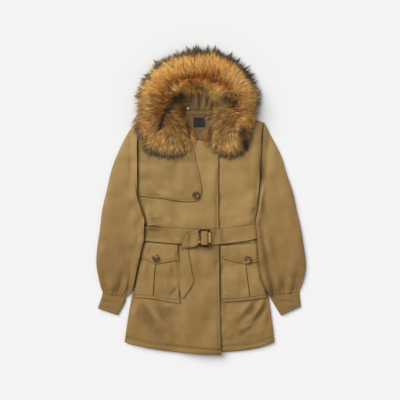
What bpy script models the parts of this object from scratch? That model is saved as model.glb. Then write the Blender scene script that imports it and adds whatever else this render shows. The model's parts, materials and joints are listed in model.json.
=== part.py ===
"""Fur trimmed parka, laid flat on its back with its fronts up.

+X is the wearer's left, +Y runs from the hem to the hood and +Z comes out of the fronts.
Tables are in millimetres; MM turns them into metres where a mesh is made. Each piece is laid
on the pieces under it: its lower face settles on their tops, a seam's gap higher.
"""

import math

import bmesh
import bpy
import numpy as np

MM = 0.001

# ---- driving dimensions, in millimetres ----
SEAM_GAP = 0.3          # between pieces that touch or are sewn together
PANEL_THICK = 6.5       # padded back and fronts
PANEL_EDGE = 4.0        # the same, pressed flat along a seam
WAIST_THICK = 4.5       # the same, drawn in under the belt
CLOTH_THICK = 3.0       # flaps and patch pockets: two plies and a turning
FACING_THICK = 1.5
LABEL_THICK = 1.0
SLEEVE_WALL = 6.5       # as padded as the body
SLEEVE_HEIGHT = 16.5
SLEEVE_END = 14.0       # its height where it meets the armhole and the cuff
CUFF_WALL = 3.0
CUFF_HEIGHT = 8.5
HOOD_WALL = 4.0
HOOD_RISE = 38.0        # how far the hood's edge stands up inside the ruff
BELT_THICK = 2.5
BUTTON_RADIUS = 12.5
BUTTON_THICK = 4.5
BUCKLE_WIDTH = 42.0
BUCKLE_HEIGHT = 60.0
BUCKLE_THICK = 4.0
BUCKLE_SIDE = 7.5       # width of a side bar
BUCKLE_END = 6.0        # width of the top and bottom bar
BUCKLE_CENTRE = (12.0, -123.0)
FUR_CREST = 70.0        # height of the ruff over the hood's top
FUR_LOBE = 44.0         # and at its two ends
FUR_CLEAR = 3           # map cells that its backing stays clear of what it lies on
COAT_HALF_WIDTH = 357.0
COAT_HALF_LENGTH = 522.0

# ---- outlines, as (x, y) ----
# hem to armpit, on the wearer's right
SIDE_RIGHT = [(-260.5, -479), (-248.5, -396), (-236, -325), (-229, -294), (-219, -240),
              (-208, -189), (-200, -158), (-193.5, -138), (-190.5, -120), (-190, -90),
              (-191.5, -60), (-199, -36), (-211, -10), (-216.5, 0)]
SIDE_LEFT = [(250, -479), (240, -396), (229.5, -321), (221, -267), (211, -216),
             (200.6, -165), (192, -131), (187, -100), (186, -70), (190.5, -36), (196, -12),
             (197, -2)]
ARMHOLE_TOP_RIGHT = (-216.5, 270)
ARMHOLE_TOP_LEFT = (213, 270)
NECK_POINT_RIGHT = (-112, 300)
NECK_POINT_LEFT = (112, 300)
BACK_HEM = [(-260.5, -479), (-173, -495), (-82, -503), (0, -507), (82, -504), (177, -493),
            (250, -479)]
FRONT_RIGHT_HEM = [(-260.5, -479), (-238, -487), (-167, -502), (-82, -513), (-3, -519),
                   (69, -522)]
FRONT_RIGHT_EDGE = [(69, -522), (65, -403), (63, -301), (61, -165), (59, 5), (59, 199)]
NECK_RIGHT = [(-112, 300), (-92, 253), (-48, 221), (7, 206), (59, 199)]
FRONT_LEFT_HEM = [(-51, -508), (14, -514), (71, -514), (178, -503), (250, -479)]
FRONT_LEFT_EDGE = [(-51, -508), (-54, -165), (-54, 182)]
NECK_LEFT = [(-54, 182), (-3, 196), (48, 207), (92, 250), (112, 300)]
FLAP_BOTTOM = [(-215.5, 20), (-173, 15), (-134, 11), (-92, 2), (-40, -1), (-14, 2), (-2, 12)]
FLAP_FRONT = [(-2, 12), (2, 30), (2, 51), (-5, 87), (-15, 126), (-23, 165), (-34, 212)]
FLAP_TOP = [(-215.5, 200), (-34, 212)]
HOOD_OUTLINE = [(150, 294), (166, 314), (168, 355), (150, 402), (115, 436), (60, 454),
                (0, 459), (-60, 454), (-115, 436), (-158, 398), (-176, 352), (-172, 314),
                (-152, 294), (-112, 302.5), (0, 301.2), (112, 302.5)]
HOOD_CENTRE = (0, 365)

# front run of the belt: distance across, upper edge, lower edge
BELT_FRONT = [(-190, -85, -134), (-122, -90, -140), (-37, -95, -146), (0, -97, -148),
              (34, -96, -147), (99, -91, -141), (156, -83, -134), (187, -77, -127)]
BELT_WRAP = 1.5         # from the coat's side to the strap round it

# free end of the belt, tip to fold: left edge x, y and right edge x, y
TAIL_ROWS = [(-63, -328, -58, -326), (-73, -297, -26, -274), (-78, -250, -31, -243),
             (-82, -206, -36, -211), (-80, -185, -42, -178), (-71, -167, -45, -155),
             (-69, -163, -44, -134), (-67, -162, -46, -109)]
# the same strap from the fold to the buckle: lower edge x, y and upper edge x, y
STRAP_ROWS = [(-67, -162, -46, -109), (-44, -158, -30, -100), (-20, -152.5, -15, -94)]

# sleeves, shoulder to cuff: outer edge x, y and inner edge x, y
SLEEVE_RIGHT_ROWS = [(-217.1, 272, -217.1, 1), (-248, 236, -213.5, -12), (-279, 175, -201.5, -36),
                     (-303, 114, -194, -62), (-321, 39, -196, -84), (-337, -29, -198.5, -110),
                     (-345, -97, -199, -134), (-354, -158, -205, -158),
                     (-357, -212, -214, -198), (-350, -257, -223.5, -240),
                     (-342, -291, -233, -290), (-335, -311, -255, -326)]
SLEEVE_LEFT_ROWS = [(213.8, 272, 197.8, -1), (243, 216, 199, -13), (273, 155, 193.5, -36),
                    (292, 94, 189, -62), (313, 32, 188.5, -85), (326, -29, 189, -108),
                    (340, -90, 190.5, -131), (350, -151, 192, -170), (357, -200, 194, -206),
                    (356, -236, 202, -257), (348, -272, 214, -289), (335, -306, 233, -320)]
CUFF_RIGHT_ROWS = [(-335.1, -311.5, -255, -326.6), (-341, -333, -261, -347),
                   (-352, -364, -283, -387)]
CUFF_LEFT_ROWS = [(335, -306.5, 233, -320.6), (337, -327, 247, -347), (340, -357, 272, -388)]

# the ruff, from the wearer's right lobe over the top to the left: inner x, y, outer x, y
FUR_ROWS = [(-76, 152, -108, 150), (-56, 164, -140, 152), (-46, 180, -166, 162),
            (-41, 197, -189, 180),
            (-46, 228, -211, 209), (-66, 268, -219, 250), (-80, 302, -221, 298),
            (-82, 332, -220, 352), (-75, 355, -207, 403), (-58, 372, -173, 452),
            (-37, 381, -122, 490), (-14, 384, -65, 513), (7, 384, -7, 520),
            (31, 381, 51, 515), (54, 372, 109, 493), (75, 359, 156, 454),
            (88, 338, 184, 406), (95, 311, 198, 355), (92, 280, 190, 304),
            (71, 250, 177, 257), (44, 223, 168, 214), (36, 200, 155, 181),
            (42, 180, 137, 161), (58, 164, 116, 152), (70, 156, 92, 151)]

# soft folds: start x, y, end x, y, height (a trough is below zero), width
FOLDS_BODY_RIGHT = [(-205, -330, -120, -440, 3.0, 34), (-150, -350, -70, -480, -2.0, 40),
                    (-60, -340, -20, -500, 2.0, 46), (-172, -76, -110, -66, 3.5, 22),
                    (-150, -40, -60, -80, 1.6, 30), (-110, 60, -30, -60, 1.4, 44),
                    (20, -170, 10, -330, 1.6, 50)]
FOLDS_BODY_LEFT = [(205, -300, 150, -430, 3.0, 36), (150, -350, 100, -480, -2.0, 40),
                   (225, -380, 190, -470, 2.0, 30), (175, -70, 110, -50, 2.4, 26),
                   (150, 20, 90, -70, 1.8, 36), (190, 190, 160, 60, 1.6, 40)]
FOLDS_BACK = [(-150, -380, -90, -480, 1.5, 40), (150, -380, 110, -480, 1.5, 40)]
FOLDS_SLEEVE_RIGHT = [(-300, -190, -312, -312, 2.6, 26), (-262, -215, -282, -316, -2.2, 20),
                      (-240, -200, -262, -322, 2.4, 20), (-330, -150, -330, -300, -1.4, 24),
                      (-240, 40, -290, -80, 1.6, 40), (-225, 180, -250, 40, 1.2, 34)]
FOLDS_SLEEVE_LEFT = [(300, -190, 306, -306, 2.6, 26), (262, -215, 276, -312, -2.2, 20),
                     (238, -215, 250, -316, 2.4, 20), (330, -150, 326, -300, -1.4, 24),
                     (236, 40, 290, -80, 1.6, 40), (228, 180, 250, 40, 1.2, 34)]
FOLDS_HOOD_LINING = [(-12, 312, -14, 400, 2.4, 14), (8, 312, 10, 400, -1.2, 12),
                     (34, 312, 44, 400, 2.4, 16), (-44, 312, -54, 396, 2.0, 16)]

COLOURS = {
    "coat": ((0.33, 0.20, 0.075), 0.75, 0.0),
    "belt": ((0.34, 0.21, 0.08), 0.72, 0.0),
    "lining": ((0.12, 0.07, 0.025), 0.6, 0.0),
    "label": ((0.02, 0.016, 0.013), 0.6, 0.0),
    "fur": ((0.40, 0.20, 0.05), 0.85, 0.0),
    "tortoiseshell": ((0.12, 0.05, 0.02), 0.25, 0.0),
    "steel": ((0.6, 0.58, 0.54), 0.3, 1.0),
}

CELL = 2.0              # spacing of the height map of what has been laid so far
CELLS_X = int(COAT_HALF_WIDTH * 2 / CELL) + 21
CELLS_Y = int(COAT_HALF_LENGTH * 2 / CELL) + 21
ORIGIN_X = -(CELLS_X - 1) * CELL / 2
ORIGIN_Y = -(CELLS_Y - 1) * CELL / 2
TOPS = {}               # each laid piece's top, by name, on that map


# ---- lines and patches ----
def smooth_line(points, straight=False):
    """A line through the points, as a function of the share of its length."""
    points = np.array(points, float)
    if straight or len(points) < 3:
        dense = points
    else:
        ends = np.vstack([2 * points[0] - points[1], points, 2 * points[-1] - points[-2]])
        share = np.linspace(0, 1, 12, endpoint=False)[:, None]
        runs = []
        for before, start, end, after in zip(ends, ends[1:], ends[2:], ends[3:]):
            cubic = 2 * before - 5 * start + 4 * end - after
            quartic = 3 * start - before - 3 * end + after
            runs.append(0.5 * (2 * start + (end - before) * share + cubic * share**2
                               + quartic * share**3))
        dense = np.vstack(runs + [points[-1:]])
    steps = np.linalg.norm(np.diff(dense, axis=0), axis=1)
    length = np.concatenate([[0], np.cumsum(steps)])

    def at(share):
        place = np.asarray(share, float) * length[-1]
        return np.stack([np.interp(place, length, axis) for axis in dense.T], axis=-1)
    return at


def smooth_rows(rows, count, stretch=1.0):
    """A table's rows, smoothed and spread evenly to the given count."""
    rows = np.array(rows, float)
    place = np.linspace(0, 1, count) ** stretch
    columns = []
    for column in rows.T:
        line = smooth_line(np.stack([np.linspace(0, 1, len(rows)) * 1e6, column], axis=-1))
        columns.append(line(place)[:, 1])
    return np.stack(columns, axis=-1)


def patch(bottom, top, right, left, u, v):
    """A point of the surface that four edges bound (a Coons patch)."""
    u = np.asarray(u, float)[..., None]
    v = np.asarray(v, float)[..., None]
    ends = (1 - v) * bottom(u[..., 0]) + v * top(u[..., 0])
    sides = (1 - u) * right(v[..., 0]) + u * left(v[..., 0])
    corners = ((1 - u) * (1 - v) * bottom(0) + u * (1 - v) * bottom(1)
               + (1 - u) * v * top(0) + u * v * top(1))
    return ends + sides - corners


def spaced(length, step, insets=(4.0, 18.0)):
    """Shares along an edge: close together by its two ends, then every step."""
    middle = length - 2 * insets[-1]
    count = max(1, round(middle / step))
    inner = np.linspace(insets[-1], length - insets[-1], count + 1)
    near = np.array([0.0] + list(insets[:-1]))
    return np.concatenate([near, inner, length - near[::-1]]) / length


def fold_height(x, y, folds):
    """How far the soft folds raise the cloth at a point."""
    height = np.zeros_like(x)
    for x0, y0, x1, y1, rise, width in folds:
        run = np.array([x1 - x0, y1 - y0], float)
        reach = float(run @ run)
        share = ((x - x0) * run[0] + (y - y0) * run[1]) / reach
        nearest = np.clip(share, 0, 1)
        away = np.hypot(x - x0 - nearest * run[0], y - y0 - nearest * run[1])
        fade = np.sin(math.pi * np.clip(0.15 + 0.7 * nearest, 0, 1))
        height += rise * fade * np.exp(-((away / (0.5 * width)) ** 2))
    return height


def ease(value):
    """A smooth step from 0 to 1."""
    value = np.clip(value, 0, 1)
    return value * value * (3 - 2 * value)


# ---- laying one piece on another ----
def cells_under(xy, triangle, margin=0.0):
    """The map's cells in a triangle, with their shares of its corners."""
    corners = xy[triangle]
    low = np.floor((corners.min(axis=0) - margin - (ORIGIN_X, ORIGIN_Y)) / CELL).astype(int)
    high = np.ceil((corners.max(axis=0) + margin - (ORIGIN_X, ORIGIN_Y)) / CELL).astype(int)
    columns, rows = np.meshgrid(np.arange(low[0], high[0] + 1), np.arange(low[1], high[1] + 1))
    columns = columns.ravel()
    rows = rows.ravel()
    x = ORIGIN_X + columns * CELL
    y = ORIGIN_Y + rows * CELL
    (ax, ay), (bx, by), (cx, cy) = corners
    area = (bx - ax) * (cy - ay) - (cx - ax) * (by - ay)
    if abs(area) < 1e-6:
        return columns[:0], rows[:0], np.zeros((0, 3))
    share_b = ((x - ax) * (cy - ay) - (cx - ax) * (y - ay)) / area
    share_c = ((bx - ax) * (y - ay) - (x - ax) * (by - ay)) / area
    shares = np.stack([1 - share_b - share_c, share_b, share_c], axis=-1)
    slack = margin * math.sqrt(abs(area)) / max(abs(area), 1e-6)
    inside = shares.min(axis=1) >= -1e-6 - slack
    return columns[inside], rows[inside], shares[inside]


def record_top(name, points, triangles):
    """Adds a piece's top surface, in millimetres, to the height map."""
    top = TOPS.setdefault(name, np.zeros((CELLS_X, CELLS_Y)))
    for triangle in triangles:
        columns, rows, shares = cells_under(points[:, :2], triangle)
        heights = shares @ points[triangle, 2]
        np.maximum.at(top, (columns, rows), heights)


def record_object(obj):
    """The same, read from an object's finished mesh."""
    graph = bpy.context.evaluated_depsgraph_get()
    shape = obj.evaluated_get(graph)
    mesh = shape.to_mesh()
    mesh.calc_loop_triangles()
    points = np.array([tuple(obj.matrix_world @ vertex.co) for vertex in mesh.vertices]) / MM
    triangles = np.array([tuple(triangle.vertices) for triangle in mesh.loop_triangles])
    shape.to_mesh_clear()
    record_top(obj.name, points, triangles)


def bed_of(names, reach):
    """The top of the named pieces together, each cell as high as those within reach of it."""
    bed = np.zeros((CELLS_X, CELLS_Y))
    for name in names:
        bed = np.maximum(bed, TOPS[name])
    spread = bed.copy()
    for shift_x in range(-reach, reach + 1):
        for shift_y in range(-reach, reach + 1):
            spread = np.maximum(spread, np.roll(bed, (shift_x, shift_y), axis=(0, 1)))
    return spread


def settle(xy, triangles, over, tension=1, reach=1):
    """Heights at which a lower face rests on the named pieces, a gap clear of them."""
    bed = bed_of(over, reach)
    bed = np.where(bed > 0, bed + SEAM_GAP, 0)
    height = np.zeros(len(xy))
    found = [cells_under(xy, triangle, margin=1.0) for triangle in triangles]
    owner = np.concatenate([np.full(len(one[0]), index) for index, one in enumerate(found)])
    columns = np.concatenate([one[0] for one in found])
    rows = np.concatenate([one[1] for one in found])
    shares = np.clip(np.concatenate([one[2] for one in found]), 0, 1)
    shares /= shares.sum(axis=1)[:, None]
    corners = triangles[owner]
    need = bed[columns, rows]

    def press():
        for _ in range(60):
            short = need - (height[corners] * shares).sum(axis=1)
            if short.max() < 0.02:
                break
            late = short > 0.02
            push = short[late, None] * shares[late] / (shares[late] ** 2).sum(axis=1)[:, None]
            raised = height.copy()
            np.maximum.at(raised, corners[late], height[corners[late]] + 0.6 * push)
            height[:] = raised
        short = np.maximum(need - (height[corners] * shares).sum(axis=1), 0)
        raised = height.copy()
        np.maximum.at(raised, corners, height[corners] + short[:, None])
        height[:] = raised

    press()
    pairs = np.vstack([triangles[:, [0, 1]], triangles[:, [1, 2]], triangles[:, [2, 0]]])
    for _ in range(tension):
        total = np.zeros(len(xy))
        number = np.zeros(len(xy))
        for start, end in ((0, 1), (1, 0)):
            np.add.at(total, pairs[:, start], height[pairs[:, end]])
            np.add.at(number, pairs[:, start], 1)
        height[:] = np.maximum(height, total / np.maximum(number, 1))
    return height


# ---- objects ----
def clear_scene():
    for obj in list(bpy.data.objects):
        bpy.data.objects.remove(obj, do_unlink=True)
    for old in list(bpy.data.collections):
        bpy.data.collections.remove(old)


def new_collection(name):
    group = bpy.data.collections.new(name)
    bpy.context.scene.collection.children.link(group)
    return group


def finish_material(name, kind):
    colour, roughness, metallic = COLOURS[kind]
    material = bpy.data.materials.new(name)
    material.use_nodes = True
    shader = material.node_tree.nodes["Principled BSDF"]
    shader.inputs["Base Color"].default_value = (*colour, 1.0)
    shader.inputs["Roughness"].default_value = roughness
    shader.inputs["Metallic"].default_value = metallic
    return material


def place(obj, kind):
    """Puts a finished object in the coat's collection, with its own material."""
    for group in list(obj.users_collection):
        group.objects.unlink(obj)
    COAT.objects.link(obj)
    obj.data.materials.clear()
    obj.data.materials.append(finish_material(obj.name, kind))
    bpy.context.view_layer.update()
    record_object(obj)
    return obj


def mesh_object(name, points, faces, kind, smooth_angle=40):
    """An object from points in millimetres and faces."""
    mesh = bpy.data.meshes.new(name)
    mesh.from_pydata([tuple(point) for point in np.asarray(points) * MM], [],
                     [tuple(int(corner) for corner in face) for face in faces])
    mesh.validate()
    mesh.shade_smooth()
    mesh.set_sharp_from_angle(angle=math.radians(smooth_angle))
    return place(bpy.data.objects.new(name, mesh), kind)


def panel(name, edges, columns, rows, thickness, over, kind="coat", folds=(), rise=None):
    """A sheet of cloth within four edges, laid on the pieces under it.

    thickness is (middle, edge); rise adds height to the top at (x, y, u, v).
    """
    form = bmesh.new()
    bmesh.ops.create_grid(form, x_segments=len(columns) - 1, y_segments=len(rows) - 1, size=0.5)
    bmesh.ops.triangulate(form, faces=form.faces, quad_method="FIXED")
    form.verts.ensure_lookup_table()
    across = np.array([vertex.co.x + 0.5 for vertex in form.verts]) * (len(columns) - 1)
    along = np.array([vertex.co.y + 0.5 for vertex in form.verts]) * (len(rows) - 1)
    u = np.interp(across, np.arange(len(columns)), columns)
    v = np.interp(along, np.arange(len(rows)), rows)
    xy = patch(*edges, u, v)
    triangles = np.array([[corner.index for corner in face.verts] for face in form.faces])
    low = settle(xy, triangles, over)

    middle, edge = thickness
    last_column = len(columns) - 1
    last_row = len(rows) - 1
    inward = np.minimum.reduce([across, along, last_column - across, last_row - along])
    top = np.where(inward < 0.5, edge * 0.55, np.where(inward < 1.5, edge, middle))
    inner = (inward > 0.5).astype(float)
    top = top + inner * fold_height(xy[:, 0], xy[:, 1], folds)
    if rise is not None:
        top = top + inner * rise(xy[:, 0], xy[:, 1], u, v)
    top = np.maximum(top, 0.8 if middle < CLOTH_THICK else 1.5)

    height = form.verts.layers.float.new("height")
    for vertex, place_xy, base, thick in zip(form.verts, xy, low, top):
        vertex.co = (place_xy[0], place_xy[1], base)
        vertex[height] = thick
    grown = bmesh.ops.extrude_face_region(form, geom=form.faces[:])
    for item in grown["geom"]:
        if isinstance(item, bmesh.types.BMVert):
            item.co.z += item[height]
    form.verts.layers.float.remove(height)
    bmesh.ops.recalc_face_normals(form, faces=form.faces[:])
    bmesh.ops.scale(form, vec=(MM, MM, MM), verts=form.verts[:])
    mesh = bpy.data.meshes.new(name)
    form.to_mesh(mesh)
    form.free()
    mesh.shade_smooth()
    mesh.set_sharp_from_angle(angle=math.radians(40))
    return place(bpy.data.objects.new(name, mesh), kind)


def strip_faces(count, width, offset=0):
    """Triangles of a sheet of points, count stations by width points."""
    faces = []
    for station in range(count - 1):
        for point in range(width - 1):
            a = offset + station * width + point
            b = a + width
            faces.append((a, b, b + 1))
            faces.append((a, b + 1, a + 1))
    return np.array(faces)


def ribbon(name, outer, inner, kind):
    """A strap between two sheets of points, each stations by points across."""
    count, width = outer.shape[:2]
    points = np.vstack([outer.reshape(-1, 3), inner.reshape(-1, 3)])
    size = count * width
    faces = [tuple(face) for face in strip_faces(count, width)]
    faces += [tuple(face[::-1]) for face in strip_faces(count, width, size)]
    rim = [station * width for station in range(count)]
    rim += [(count - 1) * width + point for point in range(1, width)]
    rim += [station * width + width - 1 for station in range(count - 2, -1, -1)]
    rim += [point for point in range(width - 2, 0, -1)]
    for start, end in zip(rim, rim[1:] + rim[:1]):
        faces.append((start, end + size, end))
        faces.append((start, start + size, end + size))
    obj = mesh_object(name, points, faces, kind)
    form = bmesh.new()
    form.from_mesh(obj.data)
    bmesh.ops.recalc_face_normals(form, faces=form.faces[:])
    form.to_mesh(obj.data)
    form.free()
    return obj


def tube(name, rows, count, wall, height, over, kind, folds=(), end_height=None, reach=1):
    """A flattened tube of cloth, open at both ends, through rows of outer and inner edges."""
    stations = smooth_rows(rows, count)
    share_low = np.array([0.03, 0.14, 0.34, 0.56, 0.76, 0.9, 0.975])
    share_high = share_low[::-1]
    around = len(share_low) * 2 + 4
    sheet = np.stack([stations[:, None, :2] * (1 - share) + stations[:, None, 2:] * share
                      for share in share_low], axis=1)[:, :, 0]
    sheet_xy = sheet.reshape(-1, 2)
    low = settle(sheet_xy, strip_faces(count, len(share_low)), over, reach=reach)
    low = low.reshape(count, -1)

    outside = np.zeros((count, around, 3))
    inside = np.zeros((count, around, 3))
    for index, (outer_x, outer_y, inner_x, inner_y) in enumerate(stations):
        start = np.array([outer_x, outer_y])
        end = np.array([inner_x, inner_y])
        width = np.linalg.norm(end - start)
        full = height
        if end_height is not None:
            near_end = min(index, count - 1 - index)
            full = height + (end_height - height) * (1 - ease(near_end / 2.0))

        def level(share, table):
            return np.interp(share, share_low, table[index])

        def at(share, lift):
            spot = start + (end - start) * share
            return (*spot, level(share, low) + lift)

        def crown(share):
            middle = 1 - np.abs(2 * share - 1) ** 3.0
            spot = start + (end - start) * share
            raised = fold_height(np.array([spot[0]]), np.array([spot[1]]), folds)[0]
            return full * (0.72 + 0.28 * middle) + raised * min(1.0, 4 * middle)

        wall_share = (wall + 0.6) / width
        ring = [at(share, 0.0) for share in share_low]
        ring += [at(1.0, 0.3 * full), at(1.0, 0.52 * full)]
        ring += [at(share, crown(share)) for share in share_high]
        ring += [at(0.0, 0.52 * full), at(0.0, 0.3 * full)]
        outside[index] = ring

        def inset(share):
            return wall_share + (1 - 2 * wall_share) * share

        thin = min(wall, 0.45 * full * 0.72)
        ring = [at(inset(share), thin) for share in share_low]
        ring += [at(inset(1.0), thin + 0.1), at(inset(1.0), thin + 0.2)]
        ring += [at(inset(share), max(full * (0.72 + 0.28 * (1 - abs(2 * share - 1) ** 3.0))
                                      - wall, thin + 0.35)) for share in share_high]
        ring += [at(inset(0.0), thin + 0.2), at(inset(0.0), thin + 0.1)]
        inside[index] = ring

    points = np.vstack([outside.reshape(-1, 3), inside.reshape(-1, 3)])
    size = count * around
    faces = []
    for station in range(count - 1):
        for point in range(around):
            after = (point + 1) % around
            a = station * around + point
            b = station * around + after
            c = a + around
            d = b + around
            faces += [(a, b, d), (a, d, c)]
            faces += [(a + size, d + size, b + size), (a + size, c + size, d + size)]
    for station in (0, count - 1):
        for point in range(around):
            after = (point + 1) % around
            a = station * around + point
            b = station * around + after
            faces += [(a, b + size, b), (a, a + size, b + size)]
    obj = mesh_object(name, points, faces, kind)
    form = bmesh.new()
    form.from_mesh(obj.data)
    bmesh.ops.recalc_face_normals(form, faces=form.faces[:])
    form.to_mesh(obj.data)
    form.free()
    return obj


def turned(name, profile, centre, over, kind, steps=16):
    """A round piece from a profile of (radius, height), laid on what is under it."""
    radius = max(point[0] for point in profile)
    spots = np.array([(centre[0] + radius * math.cos(turn), centre[1] + radius * math.sin(turn))
                      for turn in np.linspace(0, 2 * math.pi, 9)[:-1]] + [tuple(centre)])
    fan = np.array([(8, index, (index + 1) % 8) for index in range(8)])
    base = settle(spots, fan, over, tension=0).max()
    mesh = bpy.data.meshes.new(name)
    points = [(radius_at * MM, 0.0, height * MM) for radius_at, height in profile]
    mesh.from_pydata(points, [(index, index + 1) for index in range(len(points) - 1)], [])
    obj = bpy.data.objects.new(name, mesh)
    bpy.context.scene.collection.objects.link(obj)
    obj.location = (centre[0] * MM, centre[1] * MM, base * MM)
    screw = obj.modifiers.new("turned", "SCREW")
    screw.axis = "Z"
    screw.steps = steps
    screw.render_steps = steps
    screw.use_merge_vertices = True
    screw.merge_threshold = 0.00001
    screw.use_smooth_shade = True
    return place(obj, kind)


# ---- the pieces ----
def line_pair(side, armhole_top):
    """A side seam and the armhole above it, as one edge from the hem up."""
    lower = smooth_line(side)(np.linspace(0, 1, 40))
    return smooth_line(np.vstack([lower, [armhole_top]]), straight=True)


def side_at(side, y):
    """How far across a side seam is at a height along the coat."""
    line = np.array(sorted((row[1], row[0]) for row in side), float)
    return np.interp(y, line[:, 0], line[:, 1])


def waist_pull(x, y, u, v):
    """Padding is thinner where the belt presses it, and full between."""
    from_belt = np.abs(y + 116) / 60
    return -(PANEL_THICK - WAIST_THICK) * (1 - ease(from_belt))


def make_back():
    corners = []
    for side, sign, row in ((SIDE_RIGHT, -1, BELT_FRONT[0]), (SIDE_LEFT, 1, BELT_FRONT[-1])):
        for y in (row[1] + 1, row[2] - 1):
            corners.append((side_at(side, y) + sign * (BELT_WRAP + BELT_THICK), y, BELT_THICK))
    record_top("belt_back", np.array(corners), np.array([(0, 1, 2), (1, 2, 3)]))
    shoulders = smooth_line([ARMHOLE_TOP_RIGHT, NECK_POINT_RIGHT, NECK_POINT_LEFT,
                             ARMHOLE_TOP_LEFT], straight=True)
    edges = (smooth_line(BACK_HEM), shoulders, line_pair(SIDE_RIGHT, ARMHOLE_TOP_RIGHT),
             line_pair(SIDE_LEFT, ARMHOLE_TOP_LEFT))
    panel("back_body", edges, spaced(460, 34), spaced(770, 33), (PANEL_THICK, PANEL_EDGE),
          ["belt_back"], folds=FOLDS_BACK, rise=waist_pull)


def make_hood():
    """A dish of cloth behind the neck: flat on the floor, its edge standing up."""
    turns = 40
    outline = smooth_line(HOOD_OUTLINE + HOOD_OUTLINE[:1])(np.linspace(0, 1, turns + 1)[:-1])
    centre = np.array(HOOD_CENTRE, float)
    rise = HOOD_RISE * ease((outline[:, 1] - 308) / 52)
    lower = [(0.4, 0.0, 0.0), (0.8, 0.0, 0.0), (0.95, 0.0, 0.0), (1.0, 2.0, 0.18),
             (1.0, 1.6, 1.0)]
    upper = [(1.0, HOOD_WALL, 1.0), (1.0, 4.6, 0.2), (0.93, HOOD_WALL, 0.0),
             (0.8, HOOD_WALL, 0.0), (0.4, HOOD_WALL, 0.0)]
    reach = np.linalg.norm(outline - centre, axis=1)
    rings = []
    for share, height, part in lower:
        radius = reach * share
        lift = np.where(rise > 1, height + rise * part, height * 0.6)
        rings.append(np.column_stack([centre + (outline - centre) * (radius / reach)[:, None],
                                      lift if part or height else np.zeros(turns)]))
    for share, height, part in upper:
        radius = reach * share - (HOOD_WALL if share == 1.0 else 0.0)
        lift = np.where(rise > 1, height + (rise - (HOOD_WALL if part == 1 else 0)) * part,
                        HOOD_WALL * (0.8 if share == 1.0 else 1.0))
        rings.append(np.column_stack([centre + (outline - centre) * (radius / reach)[:, None],
                                      lift]))
    points = np.vstack(rings + [[(*centre, HOOD_WALL)], [(*centre, 0.0)]])
    faces = []
    for ring in range(len(rings) - 1):
        for turn in range(turns):
            a = ring * turns + turn
            b = ring * turns + (turn + 1) % turns
            faces += [(a, b, b + turns), (a, b + turns, a + turns)]
    last = (len(rings) - 1) * turns
    for turn in range(turns):
        after = (turn + 1) % turns
        faces.append((last + turn, last + after, len(points) - 2))
        faces.append((after, turn, len(points) - 1))
    mesh_object("hood_shell", points, faces, "coat")


def make_hood_inside():
    half = 104
    bottom = smooth_line([(-half, 311), (half, 311)])
    top = smooth_line([(-96, 384), (-60, 410), (0, 420), (60, 410), (96, 384)])
    edges = (bottom, top, smooth_line([(-half, 311), (-96, 384)]),
             smooth_line([(half, 311), (96, 384)]))
    columns = spaced(2 * half, 12, (3.0, 10.0))
    panel("hood_lining", edges, columns, spaced(110, 24, (3.0, 12.0)), (2.5, 2.0),
          ["hood_shell"], kind="lining", folds=FOLDS_HOOD_LINING)

    top = smooth_line([(-100, 296.5), (0, 295), (100, 296.5)])
    bottom = smooth_line([(-66, 206), (0, 178), (66, 200)])
    edges = (bottom, top, smooth_line([(-66, 206), (-92, 255), (-100, 296.5)]),
             smooth_line([(66, 200), (92, 250), (100, 296.5)]))
    panel("back_facing", edges, spaced(150, 30, (3.0, 12.0)), spaced(100, 28, (3.0, 12.0)),
          (FACING_THICK, FACING_THICK), ["back_body"], kind="coat")

    edges = box_edges(-64, 66, 297.2, 309.2)
    panel("neck_tape", edges, spaced(130, 26, (2.0, 8.0)), [0, 0.5, 1], (1.4, 1.2),
          ["back_body", "hood_shell"], kind="coat")
    panel("label", box_edges(-26, 14, 253, 284.5), [0, 0.1, 0.5, 0.9, 1],
          [0, 0.1, 0.5, 0.9, 1], (LABEL_THICK, 0.9), ["back_facing"], kind="label")
    make_hanger_loop()
    stud = [(0, 3.0), (2.6, 3.0), (3.2, 2.2), (4.6, 2.0), (5.2, 1.4), (5.2, 0.0), (0, 0.0)]
    over = ["hood_shell", "hood_lining", "neck_tape", "back_body"]
    turned("snap_right", stud, (-45, 317), over, "steel", steps=14)
    turned("snap_left", stud, (27, 317), over, "steel", steps=14)


def box_edges(x0, x1, y0, y1):
    return (smooth_line([(x0, y0), (x1, y0)]), smooth_line([(x0, y1), (x1, y1)]),
            smooth_line([(x0, y0), (x0, y1)]), smooth_line([(x1, y0), (x1, y1)]))


def make_hanger_loop():
    """A short round loop that hangs from the neck seam."""
    radius = 1.7
    route = smooth_line([(-27, 295), (-22, 290.5), (-13, 286.8), (-3, 286.4), (7, 289.5),
                         (12, 295)])(np.linspace(0, 1, 14))
    level = TOPS["back_facing"][TOPS["back_facing"] > 0].max() + radius + 0.5
    curve = bpy.data.curves.new("hanger_loop", "CURVE")
    curve.dimensions = "3D"
    curve.bevel_depth = radius * MM
    curve.bevel_resolution = 2
    curve.use_fill_caps = True
    spline = curve.splines.new("POLY")
    spline.points.add(len(route) - 1)
    for point, (x, y) in zip(spline.points, route):
        point.co = (x * MM, y * MM, level * MM, 1.0)
    obj = bpy.data.objects.new("hanger_loop", curve)
    bpy.context.scene.collection.objects.link(obj)
    place(obj, "coat")


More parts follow.
